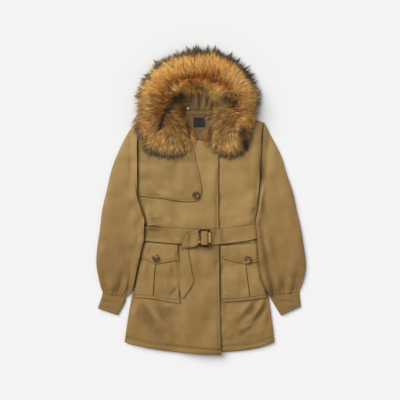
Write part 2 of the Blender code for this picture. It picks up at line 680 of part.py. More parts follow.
def make_fronts():
    inside = ["back_body", "back_facing"]
    hem_to_neck_left = smooth_line(FRONT_LEFT_EDGE)
    neck = smooth_line(NECK_LEFT)(np.linspace(0, 1, 24))
    top = smooth_line(np.vstack([neck, [ARMHOLE_TOP_LEFT]]), straight=True)
    edges = (smooth_line(FRONT_LEFT_HEM), top, hem_to_neck_left,
             line_pair(SIDE_LEFT, ARMHOLE_TOP_LEFT))
    panel("front_left", edges, spaced(290, 32), spaced(730, 34), (PANEL_THICK, PANEL_EDGE),
          inside, folds=FOLDS_BODY_LEFT, rise=waist_pull)

    neck = smooth_line(NECK_RIGHT)(np.linspace(0, 1, 24))
    top = smooth_line(np.vstack([[ARMHOLE_TOP_RIGHT], neck]), straight=True)
    edges = (smooth_line(FRONT_RIGHT_HEM), top, line_pair(SIDE_RIGHT, ARMHOLE_TOP_RIGHT),
             smooth_line(FRONT_RIGHT_EDGE))
    panel("front_right", edges, spaced(300, 32), spaced(730, 34), (PANEL_THICK, PANEL_EDGE),
          inside + ["front_left"], folds=FOLDS_BODY_RIGHT, rise=waist_pull)


def make_storm_flap():
    edges = (smooth_line(FLAP_BOTTOM), smooth_line(FLAP_TOP),
             smooth_line([FLAP_BOTTOM[0], FLAP_TOP[0]]), smooth_line(FLAP_FRONT))
    panel("storm_flap", edges, spaced(200, 24, (3.0, 12.0)), spaced(195, 26, (3.0, 12.0)),
          (CLOTH_THICK + 0.8, CLOTH_THICK), ["front_right"])


def pleat_rise(centre_u):
    """A pocket stands off the coat, with a pressed pleat down its middle."""
    def rise(x, y, u, v):
        full = 1.6 * np.sin(math.pi * np.clip(u, 0, 1)) * np.sin(math.pi * np.clip(v, 0, 1))
        off = np.abs(u - centre_u)
        groove = np.where(off < 0.004, -1.8, np.where(off < 0.018, 1.0, 0.0))
        return full + groove * (v < 0.93) * (v > 0.04)
    return rise


def make_pockets():
    columns_right = [0, 0.025, 0.12, 0.28, 0.42, 0.488, 0.5, 0.512, 0.58, 0.72, 0.87, 0.975, 1]
    side = smooth_line([(-229.5, -326), (-216, -240), (-199, -166), (-193, -145)])
    edges = (smooth_line([(-229.5, -326), (-173, -330), (-120, -339), (-71, -346)]),
             smooth_line([(-193, -145), (-79, -146)]), side,
             smooth_line([(-71, -346), (-75, -284), (-79, -200), (-79, -146)]))
    rows = spaced(190, 24, (3.0, 12.0))
    panel("pocket_right", edges, columns_right, rows, (CLOTH_THICK + 0.6, CLOTH_THICK),
          ["front_right"], rise=pleat_rise(0.5))

    columns_left = [0, 0.025, 0.12, 0.28, 0.44, 0.53, 0.588, 0.6, 0.612, 0.68, 0.83, 0.975, 1]
    side = smooth_line([(225, -327), (210, -250), (197, -181), (191, -144)])
    edges = (smooth_line([(70, -343), (146, -337), (225, -327)]),
             smooth_line([(70, -150), (191, -144)]),
             smooth_line([(70, -343), (69, -240), (70, -150)]), side)
    panel("pocket_left", edges, columns_left, rows, (CLOTH_THICK + 0.6, CLOTH_THICK),
          ["front_left", "front_right"], rise=pleat_rise(0.6))

    edges = (smooth_line([(-206.5, -189), (-153, -212), (-79.5, -199)], straight=True),
             smooth_line([(-192.5, -136), (-79, -140)]),
             smooth_line([(-206.5, -189), (-198, -160), (-192.5, -136)]),
             smooth_line([(-79.5, -199), (-79, -140)]))
    columns = [0, 0.03, 0.14, 0.28, 0.42, 0.55, 0.7, 0.85, 0.97, 1]
    rows = [0, 0.06, 0.24, 0.5, 0.76, 0.95, 1]
    panel("pocket_flap_right", edges, columns, rows, (CLOTH_THICK + 0.5, CLOTH_THICK),
          ["front_right", "pocket_right"])
    edges = (smooth_line([(68, -193), (159, -214), (205, -199)], straight=True),
             smooth_line([(67.5, -151), (192.5, -143)]),
             smooth_line([(68, -193), (67.5, -151)]),
             smooth_line([(205, -199), (198, -170), (192.5, -143)]))
    panel("pocket_flap_left", edges, columns, rows, (CLOTH_THICK + 0.5, CLOTH_THICK),
          ["front_left", "front_right", "pocket_left"])


def make_sleeves():
    body = ["back_body", "front_right", "front_left", "storm_flap", "pocket_right",
            "pocket_left", "pocket_flap_right", "pocket_flap_left", "belt_round"]
    tube("sleeve_right", SLEEVE_RIGHT_ROWS, 18, SLEEVE_WALL, SLEEVE_HEIGHT, body, "coat",
         folds=FOLDS_SLEEVE_RIGHT, end_height=SLEEVE_END)
    tube("sleeve_left", SLEEVE_LEFT_ROWS, 18, SLEEVE_WALL, SLEEVE_HEIGHT, body, "coat",
         folds=FOLDS_SLEEVE_LEFT, end_height=SLEEVE_END, reach=2)
    tube("cuff_right", CUFF_RIGHT_ROWS, 4, CUFF_WALL, CUFF_HEIGHT, body, "coat")
    tube("cuff_left", CUFF_LEFT_ROWS, 4, CUFF_WALL, CUFF_HEIGHT, body, "coat")


def belt_edges(x):
    rows = np.array(BELT_FRONT, float)
    return np.interp(x, rows[:, 0], rows[:, 1]), np.interp(x, rows[:, 0], rows[:, 2])


def across(start, end, shares=(0.0, 0.5, 1.0)):
    return np.array([np.asarray(start) * (1 - share) + np.asarray(end) * share
                     for share in shares])


def belt_station(share, middle_x):
    """A line across the belt: share runs from a middle x (0) to the coat's side (1 or -1)."""
    side, row = (SIDE_LEFT, BELT_FRONT[-1]) if share > 0 else (SIDE_RIGHT, BELT_FRONT[0])
    edge_x = np.array([side_at(side, row[2]), side_at(side, row[1])])
    inset = 4.0 if share > 0 else -4.0
    x = middle_x + (edge_x - inset - middle_x) * abs(share)
    upper = belt_edges(x[1])[0]
    lower = belt_edges(x[0])[1]
    return across((x[0], lower), (x[1], upper))


def make_belt():
    """One strap round the coat, from under the buckle round the back to its other side."""
    front = ["front_right", "front_left", "pocket_right", "pocket_left", "pocket_flap_right",
             "pocket_flap_left", "back_body"]
    buckle_x = BUCKLE_CENTRE[0]
    right_bar = buckle_x + 0.5 * BUCKLE_WIDTH - 0.5 * BUCKLE_SIDE
    runs = {}
    for key, shares, middle_x in (("left", np.linspace(1e-6, 1, 8), right_bar + 0.2),
                                  ("right", np.linspace(-1, -1e-6, 9), buckle_x - 3.2)):
        sheet = np.array([belt_station(share, middle_x) for share in shares])
        low = settle(sheet.reshape(-1, 2), strip_faces(len(sheet), 3), front, tension=2)
        runs[key] = np.concatenate([sheet, low.reshape(-1, 3, 1)], axis=2)
    # the run that carries the free end climbs to pass over the sewn end
    level = runs["right"][-1, :, 2].max() + BELT_THICK + SEAM_GAP
    near = ease(1 - (runs["left"][:, 0, 0] - right_bar) / 70)
    runs["left"][:, :, 2] = np.maximum(runs["left"][:, :, 2], near[:, None] * level)

    def turn(side, sign, last):
        """Stations round the coat's side, from its front to its back."""
        high = last[:, 2].max()
        spots = last[:, :2].copy()
        seam = side_at(side, spots[:, 1])
        stations = []
        for near_z, far_x, far_z in ((high - 1.0, 0.75, high + BELT_THICK - 1.2),
                                     (0.5 * high, 1.0, 0.5 * high),
                                     (BELT_THICK, 0.75, 1.0)):
            pair = []
            for offset, z in ((BELT_WRAP, near_z), (BELT_WRAP + BELT_THICK * far_x, far_z)):
                pair.append(np.column_stack([seam + sign * offset, spots[:, 1],
                                             np.full(len(spots), z)]))
            stations.append(pair)
        return stations

    inner = list(runs["left"])
    outer = [station + (0, 0, BELT_THICK) for station in runs["left"]]
    for near_side, far_side in turn(SIDE_LEFT, 1, runs["left"][-1]):
        inner.append(near_side)
        outer.append(far_side)
    start, end = runs["left"][-1], runs["right"][0]
    for share in np.linspace(0, 1, 14):
        spots = (start * (1 - share) + end * share)[:, :2]
        inner.append(np.column_stack([spots, np.full(3, BELT_THICK)]))
        outer.append(np.column_stack([spots, np.zeros(3)]))
    for near_side, far_side in turn(SIDE_RIGHT, -1, end)[::-1]:
        inner.append(near_side)
        outer.append(far_side)
    inner += list(runs["right"])
    outer += [station + (0, 0, BELT_THICK) for station in runs["right"]]
    ribbon("belt_round", np.array(outer), np.array(inner), "belt")


def make_belt_end():
    """The strap through the buckle, folded over itself and hanging down the skirt."""
    under = ["front_right", "front_left", "pocket_right", "pocket_flap_right", "belt_round"]
    tail = smooth_rows(TAIL_ROWS, 15)
    sheet = np.array([across(row[:2], row[2:]) for row in tail])
    low = settle(sheet.reshape(-1, 2), strip_faces(len(sheet), 3), under, tension=2)
    tail_low = np.concatenate([sheet, low.reshape(-1, 3, 1)], axis=2)
    tail_high = tail_low + (0, 0, BELT_THICK)
    points = tail_high.reshape(-1, 3)
    record_top("belt_tail", points, strip_faces(len(sheet), 3))

    centre_x, centre_y = BUCKLE_CENTRE
    half = 0.5 * BUCKLE_HEIGHT - BUCKLE_END - 0.8
    bar = 0.5 * BUCKLE_WIDTH - 0.5 * BUCKLE_SIDE
    through = [(-bar - 5, 0.0), (-bar + 3.9, 0.0), (-3.6, 1.0), (3.6, 1.0), (bar - 3.9, 0.0),
               (bar - 0.4, 0.0)]
    strap = [across(row[:2], row[2:]) for row in STRAP_ROWS]
    lift = [0.0] * len(strap)
    for offset, raised in through:
        x = centre_x + offset
        strap.append(across((x, centre_y - half), (x, centre_y + half)))
        lift.append(raised)
    strap = np.array(strap)
    low = settle(strap.reshape(-1, 2), strip_faces(len(strap), 3), under + ["belt_tail"],
                 tension=1).reshape(-1, 3)
    # under the buckle's side bars the strap is level, and over its centre bar it humps
    level = low[len(STRAP_ROWS):].max()
    low[len(STRAP_ROWS):] = level
    hump = 2 * SEAM_GAP + 0.5 + BELT_THICK + BUCKLE_THICK
    low += np.array(lift)[:, None] * hump
    strap_low = np.concatenate([strap, low[..., None]], axis=2)
    strap_high = strap_low + (0, 0, BELT_THICK)

    # the fold: the tail's lower face turns round the outside and becomes the strap's top
    fold_low = tail_low[-1]
    fold_high = strap_high[0]
    along = fold_low[2, :2] - fold_low[0, :2]
    outward = np.array([-along[1], along[0]]) / np.linalg.norm(along)
    middle = 0.5 * (fold_low + fold_high)
    outer_turn = middle + (*(outward * (BELT_THICK + 1.2)), 0)
    inner_turn = middle + (*(outward * 0.8), 0)
    outer = np.concatenate([tail_low, [outer_turn], strap_high])
    inner = np.concatenate([tail_high, [inner_turn], strap_low])
    ribbon("belt_end", outer, inner, "belt")
    return level + BELT_THICK + SEAM_GAP


def rounded_box(curve, width, height, radius, centre=(0.0, 0.0)):
    """Adds a rectangle with round corners to a flat curve."""
    spots = []
    for quarter, (sign_x, sign_y) in enumerate(((1, 1), (-1, 1), (-1, -1), (1, -1))):
        middle = (centre[0] + sign_x * (0.5 * width - radius),
                  centre[1] + sign_y * (0.5 * height - radius))
        for step in range(4):
            turn = math.pi / 2 * (quarter + step / 3)
            spots.append((middle[0] + radius * math.cos(turn),
                          middle[1] + radius * math.sin(turn)))
    spline = curve.splines.new("POLY")
    spline.points.add(len(spots) - 1)
    for point, (x, y) in zip(spline.points, spots):
        point.co = (x * MM, y * MM, 0.0, 1.0)
    spline.use_cyclic_u = True


def make_buckle(level):
    curve = bpy.data.curves.new("buckle", "CURVE")
    curve.dimensions = "2D"
    curve.fill_mode = "BOTH"
    edge = 0.8
    curve.extrude = (0.5 * BUCKLE_THICK - edge) * MM
    curve.bevel_depth = edge * MM
    curve.bevel_resolution = 1
    rounded_box(curve, BUCKLE_WIDTH - 2 * edge, BUCKLE_HEIGHT - 2 * edge, 8.0)
    centre_bar = 6.0
    window = 0.5 * (BUCKLE_WIDTH - centre_bar) - BUCKLE_SIDE
    offset = 0.5 * (centre_bar + window)
    for sign in (-1, 1):
        rounded_box(curve, window + 2 * edge, BUCKLE_HEIGHT - 2 * BUCKLE_END + 2 * edge, 3.0,
                    (sign * offset, 0.0))
    obj = bpy.data.objects.new("buckle", curve)
    bpy.context.scene.collection.objects.link(obj)
    obj.location = (BUCKLE_CENTRE[0] * MM, BUCKLE_CENTRE[1] * MM,
                    (level + 0.5 * BUCKLE_THICK) * MM)
    place(obj, "tortoiseshell")


def make_buttons():
    radius = BUTTON_RADIUS
    thick = BUTTON_THICK
    profile = [(0, 0.62 * thick), (0.55 * radius, 0.66 * thick), (0.72 * radius, 0.95 * thick),
               (0.86 * radius, thick), (0.97 * radius, 0.78 * thick), (radius, 0.45 * thick),
               (0.88 * radius, 0.0), (0, 0.0)]
    turned("button_chest", profile, (-17.5, 22), ["storm_flap"], "tortoiseshell")
    over = ["pocket_flap_right", "pocket_right"]
    turned("button_pocket_right", profile, (-153, -193), over, "tortoiseshell")
    over = ["pocket_flap_left", "pocket_left"]
    turned("button_pocket_left", profile, (158.5, -197), over, "tortoiseshell")


def laced(lower, lower_shares, upper, upper_shares):
    """Triangles between two lines of points, each given with its shares of the way."""
    faces = []
    low = 0
    high = 0
    while low + 1 < len(lower) or high + 1 < len(upper):
        next_low = lower_shares[low + 1] if low + 1 < len(lower) else 2.0
        next_high = upper_shares[high + 1] if high + 1 < len(upper) else 2.0
        if next_low < next_high:
            faces.append((lower[low], upper[high], lower[low + 1]))
            low += 1
        else:
            faces.append((lower[low], upper[high], upper[high + 1]))
            high += 1
    return faces


def make_fur():
    """A thick ruff along the hood's edge, tufted outside, its two ends on the chest."""
    count = 52
    rows = smooth_rows(FUR_ROWS, count)
    share_low = np.array([0.03, 0.2, 0.36, 0.5, 0.6, 0.68, 0.78, 0.88, 0.98])
    profile = [(1.0, 0.22), (0.9, 0.5), (0.72, 0.86), (0.5, 1.0), (0.3, 0.95), (0.12, 0.66),
               (0.0, 0.3)]
    for index in range(1, count - 1):
        out = rows[index, 2:] - rows[index, :2]
        reach = np.linalg.norm(out)
        tuft = 4.0 if index % 2 else -3.0
        keep = 1 + tuft / reach
        rows[index, 2:] = rows[index, :2] + out * keep
    rows[:, 3] = np.minimum(rows[:, 3], COAT_HALF_LENGTH)
    sheet = np.stack([rows[:, :2] * (1 - share) + rows[:, 2:] * share for share in share_low],
                     axis=1)
    spots = sheet.reshape(-1, 2)
    laid = [name for name in TOPS if name not in ("belt_back", "belt_tail")]
    low = settle(spots, strip_faces(count, len(share_low)), laid, tension=0, reach=FUR_CLEAR)
    nearest = np.rint((spots - (ORIGIN_X, ORIGIN_Y)) / CELL).astype(int)
    low = np.maximum(low, bed_of(laid, FUR_CLEAR)[nearest[:, 0], nearest[:, 1]])
    low = np.maximum(low.reshape(count, -1) + 2 * SEAM_GAP, 1.0)
    around = len(share_low) + len(profile)
    points = []
    for index in range(count):
        start, end = rows[index, :2], rows[index, 2:]
        middle_y = 0.5 * (start[1] + end[1])
        crest = FUR_LOBE + (FUR_CREST - FUR_LOBE) * ease((middle_y - 190) / 230)
        taper = ease(min(index, count - 1 - index) / 3 + 0.25)
        for share, base in zip(share_low, low[index]):
            points.append((*(start + (end - start) * share), base))
        for share, part in profile:
            base = np.interp(share, share_low, low[index])
            high = base + 6.0 + max(crest * taper - base, 8.0) * part
            points.append((*(start + (end - start) * share), high))
    faces = []
    for index in range(count - 1):
        for point in range(around):
            after = (point + 1) % around
            a = index * around + point
            b = index * around + after
            faces += [(a, b, b + around), (a, b + around, a + around)]
    share_high = np.array([share for share, part in profile[::-1]])
    for first in (0, (count - 1) * around):
        lower = first + np.arange(len(share_low))
        upper = first + np.arange(around - 1, len(share_low) - 1, -1)
        faces += laced(lower, share_low, upper, share_high)
    obj = mesh_object("fur_trim", np.array(points), faces, "fur", smooth_angle=70)
    form = bmesh.new()
    form.from_mesh(obj.data)
    bmesh.ops.recalc_face_normals(form, faces=form.faces[:])
    form.to_mesh(obj.data)
    form.free()


clear_scene()
COAT = new_collection("fur_trimmed_parka")
make_back()
make_hood()
make_hood_inside()
make_fronts()
make_storm_flap()
make_pockets()
make_belt()
BUCKLE_LEVEL = make_belt_end()
make_buckle(BUCKLE_LEVEL)
make_sleeves()
make_buttons()
make_fur()
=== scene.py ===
"""The fur trimmed parka's cloth, fur and trims, laid over its solids.

+X is the wearer's left, +Y runs from the hem to the hood and +Z comes out of the fronts.
Tables are in millimetres; MM turns them into metres where a mesh is made. Each piece is
settled on a map of the heights of what was laid before it, in the order it is put down.
"""

import json
import math

import bpy
import numpy as np
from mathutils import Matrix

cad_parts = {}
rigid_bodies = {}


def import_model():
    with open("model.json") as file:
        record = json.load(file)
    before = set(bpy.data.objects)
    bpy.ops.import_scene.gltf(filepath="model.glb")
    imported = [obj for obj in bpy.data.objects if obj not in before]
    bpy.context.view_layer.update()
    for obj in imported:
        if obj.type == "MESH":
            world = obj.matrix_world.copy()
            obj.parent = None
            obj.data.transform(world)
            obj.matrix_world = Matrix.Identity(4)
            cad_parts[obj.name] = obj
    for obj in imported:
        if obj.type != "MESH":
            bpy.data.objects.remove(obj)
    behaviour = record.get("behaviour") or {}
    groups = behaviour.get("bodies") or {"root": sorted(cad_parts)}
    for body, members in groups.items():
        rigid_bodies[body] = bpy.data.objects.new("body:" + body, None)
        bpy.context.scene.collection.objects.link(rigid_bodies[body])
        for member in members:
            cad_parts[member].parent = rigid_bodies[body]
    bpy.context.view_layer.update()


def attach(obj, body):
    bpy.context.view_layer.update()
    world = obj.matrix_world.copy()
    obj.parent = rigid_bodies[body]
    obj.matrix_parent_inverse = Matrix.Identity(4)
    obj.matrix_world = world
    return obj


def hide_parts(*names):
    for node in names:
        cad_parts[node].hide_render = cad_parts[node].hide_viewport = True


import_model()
MM = 0.001

# ---- the coat's cut and its places, in millimetres, as the solids have them ----
GAP = 0.3               # between pieces that touch or are sewn together
PADDING = 6.5           # padded back and fronts
PRESSED = 4.0           # the same, along a seam
WAIST = 4.5             # the same, under the belt
CLOTH = 3.4             # flaps and patch pockets
SLEEVE_HEIGHT = 16.5
CUFF_HEIGHT = 8.5
CUFF_LENGTH = 62.0
CUFF_WALL = 2.6
CUFF_HOLE = CUFF_HEIGHT - 5.6
HOOD_WALL = 4.0
HOOD_RISE = 38.0
HOOD_FRONT, HOOD_RAMP = 308.0, 52.0     # where its edge begins to rise, and over how far
BELT_THICK = 2.5
TOPSTITCH = 6.5         # from a finished edge to its stitching
HEM_STITCH = 20.0
FOLD_STRENGTH = 1.35
BUCKLE_CENTRE = (12.0, -123.0)
BUCKLE_SIZE = (42.0, 60.0, 4.0)
BUCKLE_SIDE = 7.5
BUCKLE_END = 6.0
BUTTON_RADIUS = 12.5
STITCH_WIDE, STITCH_TALL = 0.38, 0.3
# painted shade, how much cloth is darkened: in a millimetre's depth of fold, stitched groove
# and pleat, at the most by these, and in the corner under a higher piece, with that corner's
# reach
FOLD_SHADE, STITCH_SHADE, PLEAT_SHADE, DARKEST = 0.055, 0.10, 0.12, 0.55
STEP_SHADE, STEP_REACH = 0.22, 2.4
BUTTONS = {"button_chest": (-17.5, 22), "button_pocket_right": (-153, -193),
           "button_pocket_left": (158.5, -197)}

SIDE_RIGHT = [(-260.5, -479), (-248.5, -396), (-236, -325), (-229, -294), (-219, -240),
              (-208, -189), (-200, -158), (-193.5, -138), (-190.5, -120), (-190, -90),
              (-191.5, -60), (-199, -36), (-211, -10), (-216.5, 0)]
SIDE_LEFT = [(250, -479), (240, -396), (229.5, -321), (221, -267), (211, -216),
             (200.6, -165), (192, -131), (187, -100), (186, -70), (190.5, -36), (196, -12),
             (197, -2)]
ARMHOLE_TOP_RIGHT = (-216.5, 270)
ARMHOLE_TOP_LEFT = (213, 270)
BACK_HEM = [(-260.5, -479), (-173, -495), (-82, -503), (0, -507), (82, -504), (177, -493),
            (250, -479)]
SHOULDERS = [(-216.5, 270), (-112, 301), (112, 301), (213, 270)]
FRONT_RIGHT_HEM = [(-260.5, -479), (-238, -487), (-167, -502), (-82, -513), (-3, -519),
                   (69, -522)]
FRONT_RIGHT_EDGE = [(69, -522), (65, -403), (63, -301), (61, -165), (59, 5), (59, 199)]
NECK_RIGHT = [(-112, 300), (-92, 253), (-48, 221), (7, 206), (59, 199)]
FRONT_LEFT_HEM = [(-51, -508), (14, -514), (71, -514), (178, -503), (250, -479)]
FRONT_LEFT_EDGE = [(-51, -508), (-54, -165), (-54, 182)]
NECK_LEFT = [(-54, 182), (-3, 196), (48, 207), (92, 250), (112, 300)]
FLAP_BOTTOM = [(-215.5, 20), (-173, 15), (-134, 11), (-92, 2), (-40, -1), (-14, 2), (-2, 12)]
FLAP_FRONT = [(-2, 12), (2, 30), (2, 51), (-5, 87), (-15, 126), (-23, 165), (-34, 212)]
HOOD_OUTLINE = [(150, 294), (166, 314), (168, 355), (150, 402), (115, 436), (60, 454),
                (0, 459), (-60, 454), (-115, 436), (-158, 398), (-176, 352), (-172, 314),
                (-152, 294), (-112, 302.5), (0, 301.2), (112, 302.5)]
HOOD_CENTRE = (0, 365)

# front run of the belt: distance across, upper edge, lower edge
BELT_FRONT = [(-190, -85, -134), (-122, -90, -140), (-37, -95, -146), (0, -97, -148),
              (34, -96, -147), (99, -91, -141), (156, -83, -134), (187, -77, -127)]
# free end of the belt, tip to fold: left edge x, y and right edge x, y
TAIL_ROWS = [(-63, -328, -58, -326), (-73, -297, -26, -274), (-78, -250, -31, -243),
             (-82, -206, -36, -211), (-80, -185, -42, -178), (-71, -167, -45, -155),
             (-69, -163, -44, -134), (-67, -162, -46, -109)]
# the same strap from the fold to the buckle: lower edge x, y and upper edge x, y
STRAP_ROWS = [(-67, -162, -46, -109), (-44, -158, -30, -100), (-20, -152.5, -15, -94)]

# sleeves, shoulder to cuff: outer edge x, y and inner edge x, y
SLEEVE_RIGHT_ROWS = [(-217.1, 272, -216.5, 1), (-248, 236, -212, -12), (-279, 175, -199, -36),
                     (-303, 114, -191, -62), (-321, 39, -192, -84), (-337, -29, -192.5, -110),
                     (-345, -97, -193, -134), (-354, -158, -199, -158),
                     (-357, -212, -208, -198), (-350, -257, -218.5, -240),
                     (-342, -291, -230, -290), (-335, -311, -255, -326)]
SLEEVE_LEFT_ROWS = [(213.8, 272, 197.8, -1), (243, 216, 195.5, -13), (273, 155, 191.5, -36),
                    (292, 94, 186, -62), (313, 32, 185.5, -85), (326, -29, 189, -108),
                    (340, -90, 190.5, -131), (350, -151, 192, -170), (357, -200, 194, -206),
                    (356, -236, 202, -257), (348, -272, 214, -289), (335, -306, 233, -320)]
CUFF_RIGHT_ROWS = [(-335.1, -311.5, -255, -326.6), (-341, -333, -261, -347),
                   (-352, -364, -283, -387)]
CUFF_LEFT_ROWS = [(335, -306.5, 233, -320.6), (337, -327, 247, -347), (340, -357, 272, -388)]

# soft folds, from their strong end to where they fade: start x, y, end x, y, height
# (a trough is below zero), width, and how far the middle bows to the left of the way
FOLDS_BODY_RIGHT = [
    (-184, -80, -116, -88, 8.0, 11, 5), (-182, -62, -116, -70, -1.4, 7, 6),
    (-186, -58, -166, -16, 3.2, 16, 4),
    (-114, -60, -78, -90, 3.0, 14, 2), (-150, -66, -176, -30, -2.2, 14, 3),
    (-60, -84, -44, -30, 1.8, 26, 0), (-200, 8, -150, -20, -1.6, 20, 0),
    (-164, -360, -60, -472, 7.2, 25, -8), (-196, -362, -116, -482, -7.6, 24, -8),
    (-226, -350, -200, -452, 3.4, 26, -4), (-126, -376, -62, -402, -3.0, 24, 4),
    (-122, -352, -80, -360, 2.2, 12, 0), (-54, -380, -24, -456, 2.6, 34, 0),
    (-150, -430, -110, -486, -2.2, 26, 0), (24, -360, 30, -480, -1.0, 34, 0),
    (36, -160, 30, -330, 2.0, 34, 0), (-4, -170, -10, -320, -1.8, 26, 0),
    (52, 120, 40, -60, 1.4, 34, 0)]
FOLDS_BODY_LEFT = [
    (212, -338, 134, -426, 7.4, 17, 8), (174, -338, 72, -420, 5.8, 19, 6),
    (180, -356, 154, -406, -5.4, 11, 2), (142, -366, 108, -402, -2.6, 13, 0),
    (174, -416, 112, -440, 3.6, 13, 3), (150, -440, 128, -470, -2.6, 18, 0),
    (222, -380, 206, -460, 2.2, 22, 0), (86, -350, 78, -400, -2.4, 16, 0),
    (104, -448, 76, -480, 1.8, 18, 0), (63, 190, 66, -140, -1.6, 7, 0),
    (65, -150, 73, -500, -1.6, 7, 0), (214, -430, 170, -478, 2.4, 20, 4),
    (188, -20, 168, -60, -3.4, 22, 4), (176, -66, 112, -52, 2.6, 20, 4),
    (184, 20, 150, -10, 1.8, 26, 0), (110, -66, 84, -30, 1.6, 24, 0),
    (190, 200, 174, 60, 2.0, 30, 6), (190, 60, 170, -30, -2.6, 24, 4)]
FOLDS_BACK = [(-150, -380, -90, -480, 1.5, 40, 0), (150, -380, 110, -480, 1.5, 40, 0),
              (-120, -160, -60, -230, 1.5, 36, 5), (120, -160, 70, -240, 1.5, 36, -5)]
FOLDS_FLAP = [(-196, 60, -120, 34, 1.2, 26, 0), (-60, 24, -92, 86, 1.2, 22, 4),
              (-205, 150, -150, 116, 1.0, 30, 0), (-30, 120, -60, 60, -1.0, 22, 0),
              (-120, 130, -96, 60, 0.9, 26, 0)]
FOLDS_POCKET_RIGHT = [(-80, -290, -112, -332, -3.0, 8, 0), (-74, -310, -90, -336, 2.2, 9, 0),
                      (-131, -274, -120, -294, -1.3, 8, 0), (-198, -248, -170, -272, 1.1, 10, 2),
                      (-100, -222, -84, -256, -1.6, 16, 0), (-186, -210, -196, -270, 1.2, 12, 0),
                      (-110, -240, -94, -262, 1.1, 9, 0)]
FOLDS_POCKET_LEFT = [(80, -309, 106, -326, 2.6, 7, 0), (78, -322, 94, -334, 2.0, 6, 0),
                     (82, -240, 104, -262, -1.6, 18, 0), (110, -292, 128, -304, 1.2, 10, 0),
                     (120, -230, 128, -270, 1.0, 12, 0), (196, -240, 188, -300, 1.2, 12, 0),
                     (214, -320, 190, -334, 1.4, 10, 0)]
FOLDS_POCKET_FLAP = [(-176, -150, -196, -184, 1.1, 10, 0), (-96, -156, -104, -186, -0.9, 10, 0),
                     (102, -176, 140, -200, 1.8, 8, 0), (84, -160, 110, -184, 1.2, 11, 0),
                     (176, -160, 168, -186, -0.9, 10, 0)]
FOLDS_SLEEVE_RIGHT = [
    (-304, -314, -298, -222, 3.4, 20, 3), (-286, -318, -262, -206, -4.2, 17, -4),
    (-262, -324, -244, -216, 3.6, 15, -3), (-250, -316, -228, -216, -3.2, 12, 0),
    (-322, -312, -332, -200, -3.2, 18, 4), (-212, -30, -262, -110, 3.2, 26, 6),
    (-214, 10, -262, -50, -2.6, 24, 6), (-210, -92, -240, -190, 2.4, 24, 0),
    (-224, 190, -262, 60, 2.2, 36, -6), (-300, 60, -322, -80, 2.2, 40, 4),
    (-240, 90, -250, -20, -1.8, 30, 0), (-330, -120, -338, -220, 2.0, 26, 0)]
FOLDS_SLEEVE_LEFT = [
    (302, -308, 296, -206, 3.6, 20, -3), (284, -314, 286, -216, -3.4, 16, 4),
    (262, -318, 254, -236, 1.4, 12, 3), (246, -316, 238, -236, -1.6, 10, 0),
    (322, -308, 334, -196, -3.0, 18, -4), (202, -30, 254, -116, 3.0, 26, -6),
    (204, 10, 250, -50, -2.0, 24, -6), (224, -110, 258, -306, 5.0, 25, 0),
    (226, 190, 256, 60, 2.2, 36, 6), (296, 60, 316, -80, 2.0, 40, -4),
    (330, -110, 336, -220, 2.0, 24, 0), (262, 120, 276, 0, -1.6, 30, 0)]
FOLDS_CUFF = [(-340, -336, -280, -352, -1.6, 9, 0), (-262, -330, -276, -380, 1.4, 10, 0),
              (262, -340, 334, -344, -1.6, 8, 0), (300, -352, 336, -354, 1.6, 7, 0),
              (300, -316, 306, -372, 1.2, 12, 0), (-330, -350, -300, -362, 1.4, 8, 0)]
FOLDS_LINING = [(-14, 312, -18, 410, 4.2, 15, 0), (-3, 312, 0, 404, -3.0, 10, 0),
                (12, 312, 17, 410, 3.4, 14, 0), (30, 312, 42, 404, 3.2, 16, 0),
                (-38, 312, -52, 398, 3.0, 18, 0), (22, 312, 30, 400, -2.4, 9, 0),
                (58, 312, 76, 390, 2.6, 16, 0), (-66, 312, -80, 384, 2.2, 16, 0)]
FOLDS_FACING = [(-60, 290, -20, 230, 1.4, 20, 0), (50, 290, 30, 236, 1.4, 18, 0),
                (-10, 246, 6, 214, -1.2, 18, 0)]

# the ruff, from the wearer's right lobe over the top to the left: parting x, y, inner tip
# x, y, outer tip x, y, height of the parting
FUR_ROWS = [
    (-74, 203, -36, 186, -50, 162, 36), (-84, 206, -34, 196, -80, 150, 42),
    (-97, 212, -32, 208, -116, 149, 46), (-110, 222, -31, 224, -156, 156, 50),
    (-120, 238, -33, 242, -190, 179, 54), (-126, 260, -38, 262, -212, 210, 58),
    (-127, 286, -46, 284, -221, 252, 62), (-126, 312, -56, 308, -223, 302, 65),
    (-121, 337, -48, 332, -220, 355, 68), (-108, 362, -38, 354, -207, 403, 69),
    (-88, 384, -34, 372, -173, 452, 70), (-62, 398, -26, 384, -122, 490, 70),
    (-34, 404, -14, 386, -65, 513, 70), (-2, 405, 8, 382, -7, 520, 70),
    (30, 403, 24, 366, 51, 515, 70), (58, 394, 30, 352, 109, 493, 70),
    (84, 376, 35, 338, 156, 454, 70), (104, 350, 42, 322, 184, 406, 69),
    (116, 322, 40, 304, 198, 355, 68), (118, 294, 34, 280, 190, 304, 65),
    (112, 266, 27, 254, 177, 257, 61), (104, 244, 24, 230, 168, 214, 56),
    (94, 228, 25, 210, 155, 181, 50), (84, 217, 27, 194, 136, 161, 46),
    (75, 210, 30, 184, 110, 151, 42), (65, 205, 34, 176, 84, 150, 38),
    (57, 202, 40, 170, 60, 158, 34)]
